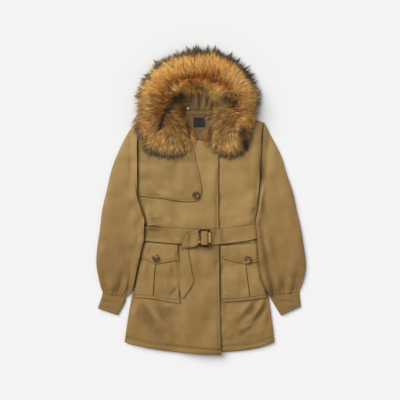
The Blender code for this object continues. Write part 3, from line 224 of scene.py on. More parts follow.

# strokes in the ruff: start x, y, end x, y, half width, strength; the first is painted shade
FUR_SHADE = [(-64, 360, -94, 330, 14, 1.0), (-94, 330, -114, 298, 11, 1.0),
            (-114, 298, -140, 240, 10, 1.0), (-52, 352, -66, 334, 12, 0.95),
            (84, 346, 112, 324, 13, 0.9), (124, 352, 142, 340, 8, 0.6),
            (143, 232, 154, 192, 18, 1.0), (-64, 330, -56, 290, 12, 0.7),
            (50, 330, 66, 316, 8, 0.5), (66, 300, 50, 276, 6, 0.35),
            (32, 196, 26, 208, 7, 0.5), (-152, 262, -164, 226, 5, 0.4),
            (40, 400, 66, 394, 6, 0.45), (-40, 402, -20, 396, 6, 0.4)]
FUR_RUST = [(-108, 404, -40, 420, 13, 0.7), (-40, 412, 44, 412, 25, 1.0),
            (44, 412, 92, 384, 13, 0.6), (-150, 350, -156, 270, 12, 0.55),
            (-118, 384, -146, 340, 10, 0.6), (-62, 310, -50, 230, 12, 0.5),
            (60, 300, 70, 240, 13, 0.4), (120, 330, 136, 290, 9, 0.6),
            (-100, 286, -84, 226, 9, 0.4), (92, 290, 84, 250, 10, 0.35)]
FUR_PALE = [(-192, 300, -170, 420, 17, 0.75), (-160, 430, -70, 472, 16, 0.8),
            (-60, 474, 60, 478, 14, 0.5), (100, 424, 160, 380, 20, 0.9),
            (184, 380, 172, 284, 13, 0.7), (54, 250, 44, 186, 11, 0.9),
            (84, 240, 78, 180, 9, 0.9), (-136, 208, -108, 172, 10, 0.9),
            (-166, 236, -150, 205, 8, 0.8), (16, 388, 50, 336, 10, 1.0),
            (60, 372, 92, 352, 8, 0.9), (60, 316, 30, 304, 7, 0.8), (50, 286, 26, 276, 6, 0.8),
            (-104, 366, -74, 384, 7, 0.5), (128, 262, 112, 190, 10, 0.9),
            (-96, 216, -80, 170, 9, 0.8), (104, 216, 96, 168, 7, 0.8),
            (-30, 388, -24, 366, 7, 0.6), (60, 220, 56, 172, 7, 0.7)]
FUR_GREY = [(-110, 502, 60, 518, 15, 1.0), (60, 512, 130, 476, 19, 1.0),
            (130, 476, 186, 410, 17, 1.0), (-154, 462, -120, 490, 12, 0.9),
            (-206, 402, -180, 436, 9, 0.8), (-226, 350, -216, 384, 7, 0.6),
            (-196, 176, -130, 148, 17, 0.9), (-130, 148, -56, 158, 17, 0.9),
            (60, 154, 110, 148, 15, 0.85), (110, 148, 164, 184, 16, 0.9),
            (164, 186, 172, 240, 9, 0.7), (202, 390, 202, 300, 7, 0.8),
            (-6, 384, 24, 372, 9, 0.45), (-222, 250, -198, 200, 11, 0.8)]

# stage, in metres: way to each sun, its strength and its angle in degrees
CAMERA_PLACE = (-0.0034, 0.0051, 3.226)
FLOOR_HALF, FLOOR_Z = 30.0, -0.0004
SUNS = {"key": ((-0.62, 0.62, 0.84), 3.02, 46.0), "fill": ((0.75, -0.35, 1.3), 0.32, 80.0)}
SKY_STRENGTH = 0.27

CELL = 2.0              # spacing of the height map of what has been laid so far
HALF = np.array([384.0, 560.0])
PILE = np.zeros((2 * HALF / CELL).astype(int) + 1)
THREAD = []             # stitches: middle, half length as a vector

# how finely pieces are made: stations along them, and points round or across them
SLEEVE_STATIONS, SLEEVE_TURNS = 130, 88
CUFF_STATIONS, CUFF_TURNS = 22, 64
BELT_COLUMNS = 43
STRAP_STATIONS = 22
HOOD_TURNS = 120
BUTTON_TURNS = 56
STUD_TURNS = 32
FUR_STATIONS = 241
STITCH_LIFT = (0, 0, 0.15)


# ---- lines and patches ----
def ease(value):
    """A smooth step from 0 to 1."""
    value = np.clip(value, 0, 1)
    return value * value * (3 - 2 * value)


def circle(turns):
    """Angles evenly round a circle."""
    return np.linspace(0, 2 * math.pi, turns + 1)[:-1]


def raised(xy, z):
    """Points from their places on the ground and their heights."""
    return np.concatenate([xy, z[..., None]], axis=-1)


def travelled(points, axis=0):
    """How far along its line each point is, for one line or for every line of a grid."""
    steps = np.linalg.norm(np.diff(points, axis=axis), axis=-1)
    return np.concatenate([0 * np.take(steps, [0], axis), np.cumsum(steps, axis)], axis)


def points_at(line, travel, place):
    """The points of a line at distances along it."""
    return np.stack([np.interp(place, travel, axis) for axis in line.T], axis=-1)


def smooth_line(points, straight=False):
    """A line through the points, as a function of the share of its length."""
    dense = points = np.array(points, float)
    if not straight and len(points) > 2:
        ends = np.vstack([2 * points[0] - points[1], points, 2 * points[-1] - points[-2]])
        share = np.linspace(0, 1, 12, endpoint=False)[:, None]
        runs = []
        for before, start, end, after in zip(ends, ends[1:], ends[2:], ends[3:]):
            square = 2 * before - 5 * start + 4 * end - after
            cube = 3 * start - before - 3 * end + after
            runs.append(0.5 * (2 * start + (end - before) * share + square * share**2
                               + cube * share**3))
        dense = np.vstack(runs + [points[-1:]])
    travel = travelled(dense)

    def at(share):
        return points_at(dense, travel, np.asarray(share, float) * travel[-1])
    at.length = travel[-1]
    return at


def smooth_rows(rows, count):
    """A table's rows, smoothed and spread evenly to the given count."""
    steps = np.linspace(0, 1, len(rows)) * 1e6      # so long that a column hardly adds length
    lines = [smooth_line(np.column_stack([steps, column])) for column in zip(*rows)]
    return np.stack([line(np.linspace(0, 1, count))[:, 1] for line in lines], axis=-1)


def across_rows(rows, share):
    """Points over a strip whose rows give its two edges: x, y and x, y."""
    share = share[..., None]
    return rows[:, None, :2] * (1 - share) + rows[:, None, 2:] * share


def patch(edges, u, v):
    """Points of the surface that four edges bound (a Coons patch)."""
    bottom, top, right, left = edges
    ends = (1 - v[..., None]) * bottom(u) + v[..., None] * top(u)
    sides = (1 - u[..., None]) * right(v) + u[..., None] * left(v)
    u, v = u[..., None], v[..., None]
    corners = ((1 - u) * (1 - v) * bottom(0) + u * (1 - v) * bottom(1)
               + (1 - u) * v * top(0) + u * v * top(1))
    return ends + sides - corners


def box_edges(x0, x1, y0, y1):
    return ([(x0, y0), (x1, y0)], [(x0, y1), (x1, y1)], [(x0, y0), (x0, y1)],
            [(x1, y0), (x1, y1)])


def spaced(length, step, insets):
    """Shares along an edge: close together by its two ends, then every step."""
    near = np.array([0.0] + [inset for inset in insets if inset < 0.4 * length])
    middle = length - 2 * near[-1]
    inner = np.linspace(near[-1], length - near[-1], max(2, round(middle / step)) + 1)
    return np.concatenate([near[:-1], inner, length - near[:-1][::-1]]) / length


def pleat_columns(columns, length, centre):
    """The shares again, with close ones on both sides of a pleat."""
    beside = np.array([0.7, 1.4, 2.0, 2.7, 4, 6])
    near = centre + np.concatenate([-beside[::-1], beside]) / length
    return np.sort(np.concatenate([columns[np.abs(columns - centre) * length > 8], near]))


def side_at(side, y):
    """How far across a side seam is at a height along the coat."""
    line = np.array(sorted((row[1], row[0]) for row in side), float)
    return np.interp(y, line[:, 0], line[:, 1])


# ---- the relief of cloth ----
def fold_height(xy, folds):
    """How far the soft folds raise the cloth at a point: a ridge with a hollow beside it."""
    x, y = xy[..., 0], xy[..., 1]
    height = np.zeros_like(x)
    for x0, y0, x1, y1, rise, width, bow in folds:
        run_x, run_y = float(x1 - x0), float(y1 - y0)
        length = math.hypot(run_x, run_y)
        share = ((x - x0) * run_x + (y - y0) * run_y) / length**2
        nearest = np.clip(share, 0, 1)
        beyond = (share - nearest) * length
        aside = (-(x - x0) * run_y + (y - y0) * run_x) / length
        aside = aside - 4 * bow * nearest * (1 - nearest)
        half = 0.5 * width * (1 + 0.5 * nearest)
        ridge = np.exp(-(aside / half) ** 2)
        hollow = 0.4 * np.exp(-((aside - 1.7 * half) / half) ** 2)
        fade = ease(0.35 + 2.2 * nearest) * ease(1.15 * (1 - nearest))
        fade = fade * np.exp(-(beyond / half) ** 2)
        height += FOLD_STRENGTH * rise * fade * (ridge - hollow)
    return height


def between(field, place, fade=lambda part: part):
    """A grid's value at places between its cells."""
    low = place.astype(int)
    column, row = low[..., 0], low[..., 1]
    across, along = np.moveaxis(fade(place - low), -1, 0)
    low = field[column, row] * (1 - across) + field[column + 1, row] * across
    high = field[column, row + 1] * (1 - across) + field[column + 1, row + 1] * across
    return low * (1 - along) + high * along


def noise_field(spacing, seed):
    """A smooth random height, about one high, as a function of the place."""
    random = np.random.default_rng(seed)
    values = random.normal(size=(2 * HALF / spacing).astype(int) + 4)
    return lambda xy: between(values, (np.clip(xy, -HALF, HALF) + HALF) / spacing + 1, ease)


BROAD = noise_field(70.0, 3)
MEDIUM = noise_field(30.0, 4)
SMALL = noise_field(11.0, 5)


def rumple(xy, amount):
    """The slight unevenness of padded cloth that has been smoothed flat by hand."""
    leaning = xy + xy[..., 1:] * (0.4, 0)
    return amount * (1.1 * BROAD(xy) + 0.85 * MEDIUM(leaning) + 0.15 * SMALL(xy))


def pucker(along, away, amount):
    """Small ripples where a seam's thread draws the cloth in."""
    pitch, drift, swelling, reach = 11.5, 53, 87, 10.0
    phase = 2 * math.pi * along / pitch + 1.4 * np.sin(2 * math.pi * along / drift)
    swell = 0.55 + 0.45 * np.sin(2 * math.pi * along / swelling + 1.0)
    return amount * np.sin(phase) * swell * np.exp(-away / reach)


# ---- laying one piece on another ----
def sample(field, xy):
    """The field's value at places on the ground."""
    return between(field, np.clip((xy + HALF) / CELL, 0, np.array(field.shape) - 1.001))


def raise_to(field, xy, z):
    """Raises the field to heights at places on the ground, where it is lower."""
    nearest = np.clip(np.rint((xy + HALF) / CELL), 0, np.array(field.shape) - 1).astype(int)
    np.maximum.at(field, tuple(np.moveaxis(nearest, -1, 0)), z)


def softened(field, reach):
    """The field as cloth laid over it rests: its greatest within reach, smoothed."""
    count = max(1, round(reach / CELL))
    for axis in (0, 1):
        field = np.maximum.reduce([np.roll(field, shift, axis)
                                   for shift in range(-count, count + 1)])
    half = max(1, count // 2)
    for axis in (0, 1, 0, 1):
        field = sum(np.roll(field, shift, axis) for shift in range(-half, half + 1))
        field = field / (2 * half + 1)
    return field


def settle(xy, reach):
    """Heights at which a lower face rests on the pile, a gap clear of it."""
    return sample(softened(PILE + GAP * (PILE > 0), reach), xy)


def heap(grid, times=4):
    """Adds a surface's heights to the pile, from points made closer by the given times."""
    for axis in (0, 1):
        count = grid.shape[axis]
        place = np.linspace(0, count - 1, (count - 1) * times + 1)
        low = np.minimum(place.astype(int), count - 2)
        part = np.expand_dims(place - low, (1, 2) if axis == 0 else (0, 2))
        grid = np.take(grid, low, axis) * (1 - part) + np.take(grid, low + 1, axis) * part
    raise_to(PILE, grid[..., :2], grid[..., 2])


# ---- meshes ----
def placed(name, data):
    """A new object in the scene."""
    obj = bpy.data.objects.new(name, data)
    bpy.context.scene.collection.objects.link(obj)
    return obj


def mesh_object(name, points, faces, material, painted_shade=None, inside_out=False):
    """An object from points in millimetres and a list of arrays of faces."""
    mesh = bpy.data.meshes.new(name)
    mesh.from_pydata((points.reshape(-1, 3) * MM).tolist(), [],
                     [face for group in faces for face in group.tolist()])
    mesh.shade_smooth()
    # painted shade, kept as a point attribute that the cloth materials darken their colour by
    if painted_shade is not None:
        layer = mesh.attributes.new("painted_shade", "FLOAT", "POINT")
        layer.data.foreach_set("value", np.ravel(painted_shade).astype(np.float32))
    if inside_out:
        mesh.flip_normals()
    mesh.materials.append(material)
    obj = placed(name, mesh)
    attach(obj, "root")
    return obj


def grid_faces(rows, columns, offset=0, around=False, flip=False):
    """Quads of a sheet of rows by columns points."""
    row, column = np.meshgrid(np.arange(rows - 1), np.arange(columns if around else columns - 1),
                              indexing="ij")
    after = (column + 1) % columns
    corners = [row * columns + column, (row + 1) * columns + column,
               (row + 1) * columns + after, row * columns + after]
    faces = np.stack([corner.ravel() for corner in corners], axis=-1) + offset
    return faces[:, ::-1] if flip else faces


def ring_object(name, rings, material, painted_shade=None, inside_out=False):
    """An object from closed rings of points, one after another."""
    return mesh_object(name, rings, [grid_faces(*rings.shape[:2], around=True)], material,
                       painted_shade, inside_out)


def shell(name, top, bottom, material, painted_shade=None):
    """A closed piece from its top sheet and its bottom sheet of as many points."""
    rows, columns = top.shape[:2]
    size = rows * columns
    spots = np.arange(size).reshape(rows, columns)
    rim = np.concatenate([spots[:-1, 0], spots[-1, :-1], spots[:0:-1, -1], spots[0, :0:-1]])
    after = np.roll(rim, -1)
    faces = [grid_faces(rows, columns), grid_faces(rows, columns, size, flip=True),
             np.stack([rim, rim + size, after + size, after], axis=-1)]
    if painted_shade is not None:
        painted_shade = np.concatenate([np.ravel(painted_shade), np.zeros(size)])
    return mesh_object(name, np.stack([top, bottom]), faces, material, painted_shade)


def dress(obj, node, slot, **sheet):
    """Hides the solid that a piece stands in for; its slot and, for cloth, its flat size are not
    used.
    """
    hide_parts(node)


def stitch_along(line, pitch=4.2, length=2.6):
    """Adds a row of stitches along a line of points to the coat's thread."""
    travel = travelled(line)
    if travel[-1] < 2 * pitch:
        return
    middles = np.arange(pitch / 2, travel[-1], pitch)
    before, middle, after = [points_at(line, travel, middles + offset)
                             for offset in (-length / 2, 0, length / 2)]
    THREAD.append((middle, after - before))


def inset_line(grid, distance, inset, keep):
    """Where lines of a grid come to a distance from an edge, in order along the edge."""
    line = []
    for points, away, kept in zip(grid, distance, keep):
        order = np.argsort(away)
        if np.interp(inset, away[order], kept[order].astype(float)) > 0.5:
            line.append([np.interp(inset, away[order], axis[order]) for axis in points.T])
    return np.array(line)


# how an edge of a panel is finished: thickness at the edge, radius of its roll, how far in
# the padding is full again, how far in it is stitched (0 is not at all) and how deep the
# stitching lies, how much it puckers
SEAM = (PRESSED, 5.0, 26.0, 0.0, 0.0, 0.7)
FREE = (PRESSED, 3.5, 24.0, TOPSTITCH, 1.3, 0.7)
HEM = (PRESSED + 2.4, 6.0, 9.0, HEM_STITCH, 3.2, 1.1)
PLAIN = (PRESSED, 2.5, 20.0, 0.0, 0.0, 0.0)


WAIST_Y, WAIST_REACH = -116.0, 46.0
PLEAT_DEPTH, PLEAT_HALF = 5.2, 1.5


def waist_pull(y):
    """Padding is thinner where the belt presses it, and blouses above."""
    return -(PADDING - WAIST) * (1 - ease(np.abs(y - WAIST_Y) / WAIST_REACH))


def pleat_relief(off, u, v):
    """A pocket stands off the coat, with a pressed pleat down its middle."""
    full = 1.8 * np.sin(math.pi * u) ** 0.6 * np.sin(math.pi * np.clip(v, 0, 1)) ** 0.6
    lips = np.exp(-((np.abs(off) - 5) / 3.0) ** 2)
    groove = lips - PLEAT_DEPTH * np.exp(-(off / PLEAT_HALF) ** 4)
    return full + groove * ease((v - 0.05) * 60)


def panel(name, edges, step, middle, finish, material, reach=8.0, folds=(), uneven=0.0,
          belted=False, pleat=None, insets=(1.0, 2.6, 4.6, 6.5, 8.4, 12.0, 17.0, 22.0)):
    """A sheet of cloth within four edges, laid on the pile.

    edges are the bottom, top, right and left ones, as tables or lines, and finish holds how
    each is finished. step is the distance between points and middle the thickness.
    """
    edges = [edge if callable(edge) else smooth_line(edge) for edge in edges]
    along_u = max(edges[0].length, edges[1].length)
    along_v = max(edges[2].length, edges[3].length)
    columns = spaced(along_u, step, insets)
    if pleat:
        columns = pleat_columns(columns, along_u, pleat)
    u, v = np.meshgrid(columns, spaced(along_v, step, insets), indexing="ij")
    xy = patch(edges, u, v)
    across, along = travelled(xy), travelled(xy, 1)
    away = [along, along[:, -1:] - along, across, across[-1:] - across]

    thick = np.full(u.shape, float(middle))
    roll = np.ones(u.shape)
    inner = np.ones(u.shape)
    relief = fold_height(xy, folds)
    # painted shade in the troughs of the folds
    painted_shade = FOLD_SHADE * np.clip(-relief, 0, 6)
    relief = relief + rumple(xy, uneven)
    for distance, length, (edge, radius, full, stitch, groove, pull) in zip(
            away, (across, across, along, along), finish):
        share = edge / middle
        thick = thick * (share + (1 - share) * ease(distance / full))
        round_off = 1 - np.clip(distance / radius, 0, 1)
        roll = np.minimum(roll, np.sqrt(1 - round_off**2))
        inner = inner * ease(distance / (2.0 * radius))
        relief = relief + pucker(length, np.abs(distance - stitch), pull)
        if stitch:
            line = groove * np.exp(-((distance - stitch) / (1.2 + 0.6 * groove)) ** 2)
            relief = relief - line
            # painted shade along the stitched groove
            painted_shade = painted_shade + STITCH_SHADE * line
    form = 0 * relief
    if belted:
        form = waist_pull(xy[..., 1])
    if pleat:
        form = pleat_relief((u - pleat) * along_u, u, v)
    # painted shade in the pocket's pressed pleat and where the belt presses the padding
    painted_shade = painted_shade + PLEAT_SHADE * np.clip(-form - 1.5, 0, 5)
    low = settle(xy, reach)
    thick = np.maximum(thick + (relief + form) * inner, 0.3 * middle)
    bottom = raised(xy, low + 0.4 * thick * (1 - roll))
    top = raised(xy, low + thick * (0.45 + 0.55 * roll))
    heap(top)

    for index, stitch in enumerate(row[3] for row in finish):
        if not stitch:
            continue
        keep = np.ones(u.shape, bool)
        for other, crossed in enumerate(finish):
            if other != index:
                keep &= away[other] >= max(crossed[3], 3.0) - 0.5
        lines = [top, away[index], keep]
        if index > 1:
            lines = [part.swapaxes(0, 1) for part in lines]
        line = inset_line(lines[0], lines[1], stitch, lines[2])
        if len(line) > 2:
            stitch_along(line + STITCH_LIFT)
    return shell(name, top, bottom, material, np.clip(painted_shade, 0, DARKEST))


def shade_steps():
    """Painted shade: cloth is darkened in the corner where a higher piece stands on it."""
    nearby = softened(PILE, STEP_REACH)
    for obj in bpy.data.objects:
        layer = obj.data.attributes.get("painted_shade") if obj.type == "MESH" else None
        if layer is None or "sleeve" in obj.name:
            continue
        count = len(obj.data.vertices)
        spots = np.empty(count * 3, np.float32)
        painted_shade = np.empty(count, np.float32)
        obj.data.vertices.foreach_get("co", spots)
        layer.data.foreach_get("value", painted_shade)
        spots = spots.reshape(-1, 3) / MM
        step = sample(nearby, spots[:, :2]) - spots[:, 2]
        shade = STEP_SHADE * ease((step - 0.8) / 3.5)
        shade[count // 2:] = 0      # the second half is the underside
        layer.data.foreach_set("value", (1 - (1 - painted_shade) * (1 - shade)).astype(np.float32))


# ---- materials ----
def node(tree, kind, inputs=(), **settings):
    """A node's first output. Each input is a value, or the output that feeds it."""
    made = tree.nodes.new("ShaderNode" + kind)
    for name, value in settings.items():
        setattr(made, name, value)
    feed(tree, made, inputs)
    return next(output for output in made.outputs if output.enabled)


def feed(tree, made, inputs):
    for name, value in dict(inputs).items():
        if isinstance(value, bpy.types.NodeSocket):
            tree.links.new(value, made.inputs[name])
        else:
            made.inputs[name].default_value = value


def calculated(tree, operation, *inputs):
    return node(tree, "Math", dict(enumerate(inputs)), operation=operation)


def multiplied(tree, part, first, second):
    """Two colours multiplied, by a part of the second."""
    made = node(tree, "Mix", {0: part, 6: first, 7: second}, data_type="RGBA",
                blend_type="MULTIPLY").node
    return made.outputs[2]


def ramped(tree, value, *stops):
    """A colour ramp of positions and colours."""
    ramp = node(tree, "ValToRGB", {"Fac": value})
    elements = ramp.node.color_ramp.elements
    for index, (position, colour) in enumerate(stops):
        element = elements.new(position) if index > 1 else elements[index]
        element.position = position
        element.color = (*colour, 1.0)
    return ramp


def noise(tree, place, scale, detail, **inputs):
    return node(tree, "TexNoise", {"Vector": place, "Scale": scale, "Detail": detail, **inputs})


def new_material(name, inputs):
    """A material, its tree and its shader."""
    material = bpy.data.materials.new(name)
    material.use_nodes = True
    tree = material.node_tree
    shader = tree.nodes["Principled BSDF"]
    feed(tree, shader, inputs)
    return material, tree, shader


def object_place(tree):
    return node(tree, "TexCoord").node.outputs["Object"]


def cloth_material(name, light, dark, thread_mm=0.55, roughness=0.6, sheen=0.06, fade=None,
                   bump=0.25):
    """Twill: fine diagonal ribs, a slubby yarn, a shade that drifts over the coat, and painted
    shade.

    fade is painted shade, darker down the coat for light falling off: from y, to y, how much.
    """
    material, tree, shader = new_material(name, {
        "Roughness": roughness, "Sheen Weight": sheen, "Sheen Roughness": 0.45,
        "Sheen Tint": (1.0, 0.86, 0.62, 1.0), "Specular IOR Level": 0.3})
    place = object_place(tree)
    broad = noise(tree, place, 9.0, 3.0, Roughness=0.55)
    stretched = node(tree, "Mapping", {"Vector": place, "Scale": (1.0, 0.18, 1.0),
                                       "Rotation": (0.0, 0.0, math.radians(28))})
    slub = noise(tree, stretched, 420.0, 2.0, Roughness=0.6)
    shade = calculated(tree, "MULTIPLY_ADD", broad, 0.75,
                       calculated(tree, "MULTIPLY", slub, 0.25))
    colour = ramped(tree, shade, (0.3, dark), (0.72, light))
    # painted shade: darker down the coat, for the light falling off
    if fade:
        from_y, to_y, amount = fade
        split = node(tree, "SeparateXYZ", {"Vector": place}).node
        down = node(tree, "MapRange", {"Value": split.outputs["Y"], "From Min": to_y,
                                       "From Max": from_y, "To Min": 1.0, "To Max": 0.0})
        colour = multiplied(tree, calculated(tree, "MULTIPLY", down, amount), colour,
                            (0.62, 0.55, 0.46, 1.0))
    # painted shade: the colour is darkened by each point's attribute of painted shade
    painted_shade = node(tree, "Attribute", attribute_name="painted_shade").node.outputs["Fac"]
    colour = multiplied(tree, 1.0, colour, calculated(tree, "SUBTRACT", 1.0, painted_shade))
    ribs = node(tree, "TexWave", {"Vector": place, "Scale": 1.0 / (thread_mm * MM) / 6.0,
                                  "Distortion": 1.2, "Detail": 1.0},
                wave_type="BANDS", bands_direction="DIAGONAL").node.outputs["Fac"]
    normal = node(tree, "Bump", {"Strength": bump, "Distance": 0.0004,
                                 "Height": calculated(tree, "ADD", ribs, slub)})
    feed(tree, shader, {"Base Color": colour, "Normal": normal})
    return material


def tortoiseshell_material(name, amber_highlight_y=None):
    """Dark brown resin with amber clouds in it. Given a height, it is lighter and more amber
    near it, partly its own amber and partly a painted highlight on the side bars, and darkest
    away from it.
    """
    material, tree, shader = new_material(name, {
        "Roughness": 0.3, "Specular IOR Level": 0.3, "Coat Weight": 0.1,
        "Coat Roughness": 0.25})
    place = object_place(tree)
    cloud = noise(tree, place, 46.0, 3.0, Roughness=0.5, Distortion=1.2)
    if amber_highlight_y is not None:
        split = node(tree, "SeparateXYZ", {"Vector": place}).node
        away = calculated(tree, "ABSOLUTE",
                          calculated(tree, "SUBTRACT", split.outputs["Y"], amber_highlight_y))
        # own amber and painted highlight: lighter side bars, darker top and bottom bars
        tone = node(tree, "MapRange", {"Value": away, "From Min": 0.014, "From Max": 0.024,
                                       "To Min": 0.15, "To Max": -0.3})
        cloud = calculated(tree, "ADD", cloud, tone)
    colour = ramped(tree, cloud, (0.38, (0.020, 0.008, 0.003)), (0.66, (0.46, 0.27, 0.095)),
                    (0.52, (0.12, 0.055, 0.018)))
    feed(tree, shader, {"Base Color": colour})
    return material


def metal_material(name):
    material, tree, shader = new_material(name, {"Roughness": 0.38, "Metallic": 1.0})
    wear = noise(tree, object_place(tree), 260.0, 3.0)
    feed(tree, shader, {"Base Color": ramped(tree, wear, (0.0, (0.55, 0.53, 0.48)),
                                             (1.0, (0.80, 0.78, 0.72)))})
    return material


def fur_material(name):
    """Hair: its own colour along each strand, and fine streaks."""
    material, tree, shader = new_material(name, {"Roughness": 0.5, "Specular IOR Level": 0.3})
    strand = node(tree, "VertexColor", layer_name="strand")
    streak = noise(tree, object_place(tree), 300.0, 2.0)
    level = node(tree, "MapRange", {"Value": streak, "To Min": 0.7, "To Max": 1.3})
    feed(tree, shader, {"Base Color": multiplied(tree, 1.0, strand, level)})
    return material


# ---- the pieces ----
def side_edge(side, armhole_top):
    """A side seam and the armhole above it, as one edge from the hem up."""
    seam = smooth_line(side)(np.linspace(0, 1, 40))
    return smooth_line(np.vstack([seam, [armhole_top]]), straight=True)


def make_body(cloth, shaded_facing_cloth):
    """The back, its facing at the neck and the two fronts."""
    right_side = side_edge(SIDE_RIGHT, ARMHOLE_TOP_RIGHT)
    left_side = side_edge(SIDE_LEFT, ARMHOLE_TOP_LEFT)
    y = np.array([BELT_FRONT[0][2] + 1, BELT_FRONT[0][1] - 1.0])
    heap(np.stack([np.column_stack([side_at(side, y) + sign * 4, y, np.full(2, BELT_THICK)])
                   for side, sign in ((SIDE_RIGHT, -1), (SIDE_LEFT, 1))]), 300)
    back = panel("back", (BACK_HEM, smooth_line(SHOULDERS, straight=True), right_side, left_side),
                 8.0, PADDING, (HEM, SEAM, SEAM, SEAM), cloth, folds=FOLDS_BACK, uneven=0.8,
                 belted=True)
    dress(back, "back_body", "coat_cloth", flat=(0.54, 0.80), area=0.37)

    thin = (1.4, 1.5, 8.0, 0.0, 0.0, 0.3)
    facing = panel("back_neck_facing",
                   ([(-66, 206), (0, 178), (66, 200)], [(-100, 296.5), (0, 295), (100, 296.5)],
                    [(-66, 206), (-92, 255), (-100, 296.5)],
                    [(66, 200), (92, 250), (100, 296.5)]),
                   4.0, 1.6, (thin,) * 4, shaded_facing_cloth, reach=4.0, folds=FOLDS_FACING,
                   uneven=0.25, insets=(1.0, 2.6, 6.0))
    dress(facing, "back_facing", "coat_cloth", flat=(0.20, 0.12), area=0.019, rests_on=[back])

    neck = smooth_line(NECK_LEFT)(np.linspace(0, 1, 24))
    top = smooth_line(np.vstack([neck, [ARMHOLE_TOP_LEFT]]), straight=True)
    left = panel("front_left_cloth", (FRONT_LEFT_HEM, top, FRONT_LEFT_EDGE, left_side), 4.2,
                 PADDING, (HEM, PLAIN, FREE, SEAM), cloth, folds=FOLDS_BODY_LEFT, uneven=1.6,
                 belted=True)
    dress(left, "front_left", "coat_cloth", flat=(0.32, 0.81), area=0.20, rests_on=[back])

    neck = smooth_line(NECK_RIGHT)(np.linspace(0, 1, 24))
    top = smooth_line(np.vstack([[ARMHOLE_TOP_RIGHT], neck]), straight=True)
    right = panel("front_right_cloth", (FRONT_RIGHT_HEM, top, right_side, FRONT_RIGHT_EDGE), 4.2,
                  PADDING, (HEM, PLAIN, SEAM, FREE), cloth, reach=22.0, folds=FOLDS_BODY_RIGHT,
                  uneven=1.6, belted=True)
    dress(right, "front_right", "coat_cloth", flat=(0.34, 0.82), area=0.215,
          rests_on=[back, left])


def make_storm_flap(cloth):
    free = (CLOTH, 2.4, 12.0, TOPSTITCH, 1.2, 0.5)
    sewn = (CLOTH, 3.0, 12.0, 0.0, 0.0, 0.5)
    edges = (FLAP_BOTTOM, [(-215.5, 200), (-34, 212)], [(-215.5, 20), (-215.5, 200)], FLAP_FRONT)
    flap = panel("storm_flap_cloth", edges, 4.0, CLOTH + 0.5, (free, sewn, sewn, free), cloth,
                 reach=5.0, folds=FOLDS_FLAP, uneven=1.0)
    dress(flap, "storm_flap", "coat_cloth", flat=(0.22, 0.22), area=0.042,
          rests_on=["front_right"])


# a pocket's and a pocket flap's edges, the share of a pocket's width that its pleat is at,
# its folds, and what it lies on
POCKETS = {
    "right": ([(-229.5, -326), (-173, -330), (-120, -339), (-71, -346)],
              [(-193, -145), (-79, -146)],
              [(-229.5, -326), (-216, -240), (-199, -166), (-193, -145)],
              [(-71, -346), (-75, -284), (-79, -200), (-79, -146)], 0.425,
              FOLDS_POCKET_RIGHT, ["front_right"]),
    "left": ([(70, -343), (146, -337), (225, -327)], [(70, -150), (191, -144)],
             [(70, -343), (69, -240), (70, -150)],
             [(225, -327), (210, -250), (197, -181), (191, -144)], 0.63,
             FOLDS_POCKET_LEFT, ["front_left", "front_right"])}
POCKET_FLAPS = {
    "right": ([(-206.5, -189), (-153, -212), (-79.5, -199)], [(-192.5, -136), (-79, -140)],
              [(-206.5, -189), (-198, -160), (-192.5, -136)], [(-79.5, -199), (-79, -140)],
              ["pocket_right", "front_right"]),
    "left": ([(68, -193), (159, -214), (205, -199)], [(67.5, -151), (192.5, -143)],
             [(68, -193), (67.5, -151)], [(205, -199), (198, -170), (192.5, -143)],
             ["pocket_left", "front_left"])}


def make_pockets(cloth):
    hem = (CLOTH, 2.6, 10.0, 8.4, 1.8, 0.6)
    sewn = (CLOTH, 2.6, 10.0, 3.6, 0.7, 0.5)
    covered = (CLOTH, 2.6, 10.0, 0.0, 0.0, 0.0)
    free = (CLOTH, 2.2, 8.0, 5.5, 1.2, 0.5)
    for side, (*edges, pleat, folds, under) in POCKETS.items():
        obj = panel(f"pocket_{side}_cloth", edges, 3.6, CLOTH + 0.5, (hem, covered, sewn, sewn),
                    cloth, reach=5.0, folds=folds, uneven=0.7, pleat=pleat,
                    insets=(1.0, 2.2, 3.2, 4.4, 6.2, 8.0, 9.8))
        dress(obj, f"pocket_{side}", "coat_cloth", flat=(0.155, 0.20), area=0.0275,
              rests_on=under)
    for side, (bottom, *edges, under) in POCKET_FLAPS.items():
        obj = panel(f"pocket_flap_{side}_cloth", (smooth_line(bottom, straight=True), *edges),
                    3.4, CLOTH + 0.5, (free, covered, free, free), cloth, reach=4.0,
                    folds=FOLDS_POCKET_FLAP, uneven=0.35,
                    insets=(1.0, 2.2, 3.8, 5.5, 7.2, 10.0))
        dress(obj, f"pocket_flap_{side}", "coat_cloth", flat=(0.135, 0.07), area=0.0078,
              rests_on=under)


def flattened_turn(count, power):
    """Angles round a flattened tube, and the share of its width that each one is at."""
    half = np.linspace(0, math.pi, count // 2 + 1)
    across = 0.55 * np.cos(half) + 0.45 * (1 - 2 * half / math.pi)
    half = np.arccos(np.sign(across) * np.abs(across) ** (1 / power))
    turn = np.concatenate([half, 2 * math.pi - half[-2:0:-1]])
    return turn, 0.5 - 0.5 * np.sign(np.cos(turn)) * np.abs(np.cos(turn)) ** power


# a sleeve's shape: the share of its height over its widest line, the radius of its edge, and
# its gathers' height, reach from the cuff and number; then how far the armhole pulls it down
OVER, UNDER = 0.62, 0.38
SLEEVE_EDGE = 9.0
GATHER_RISE, GATHER_REACH, GATHERS = 1.7, 42.0, 6.5
ARMHOLE_REACH = 16.0


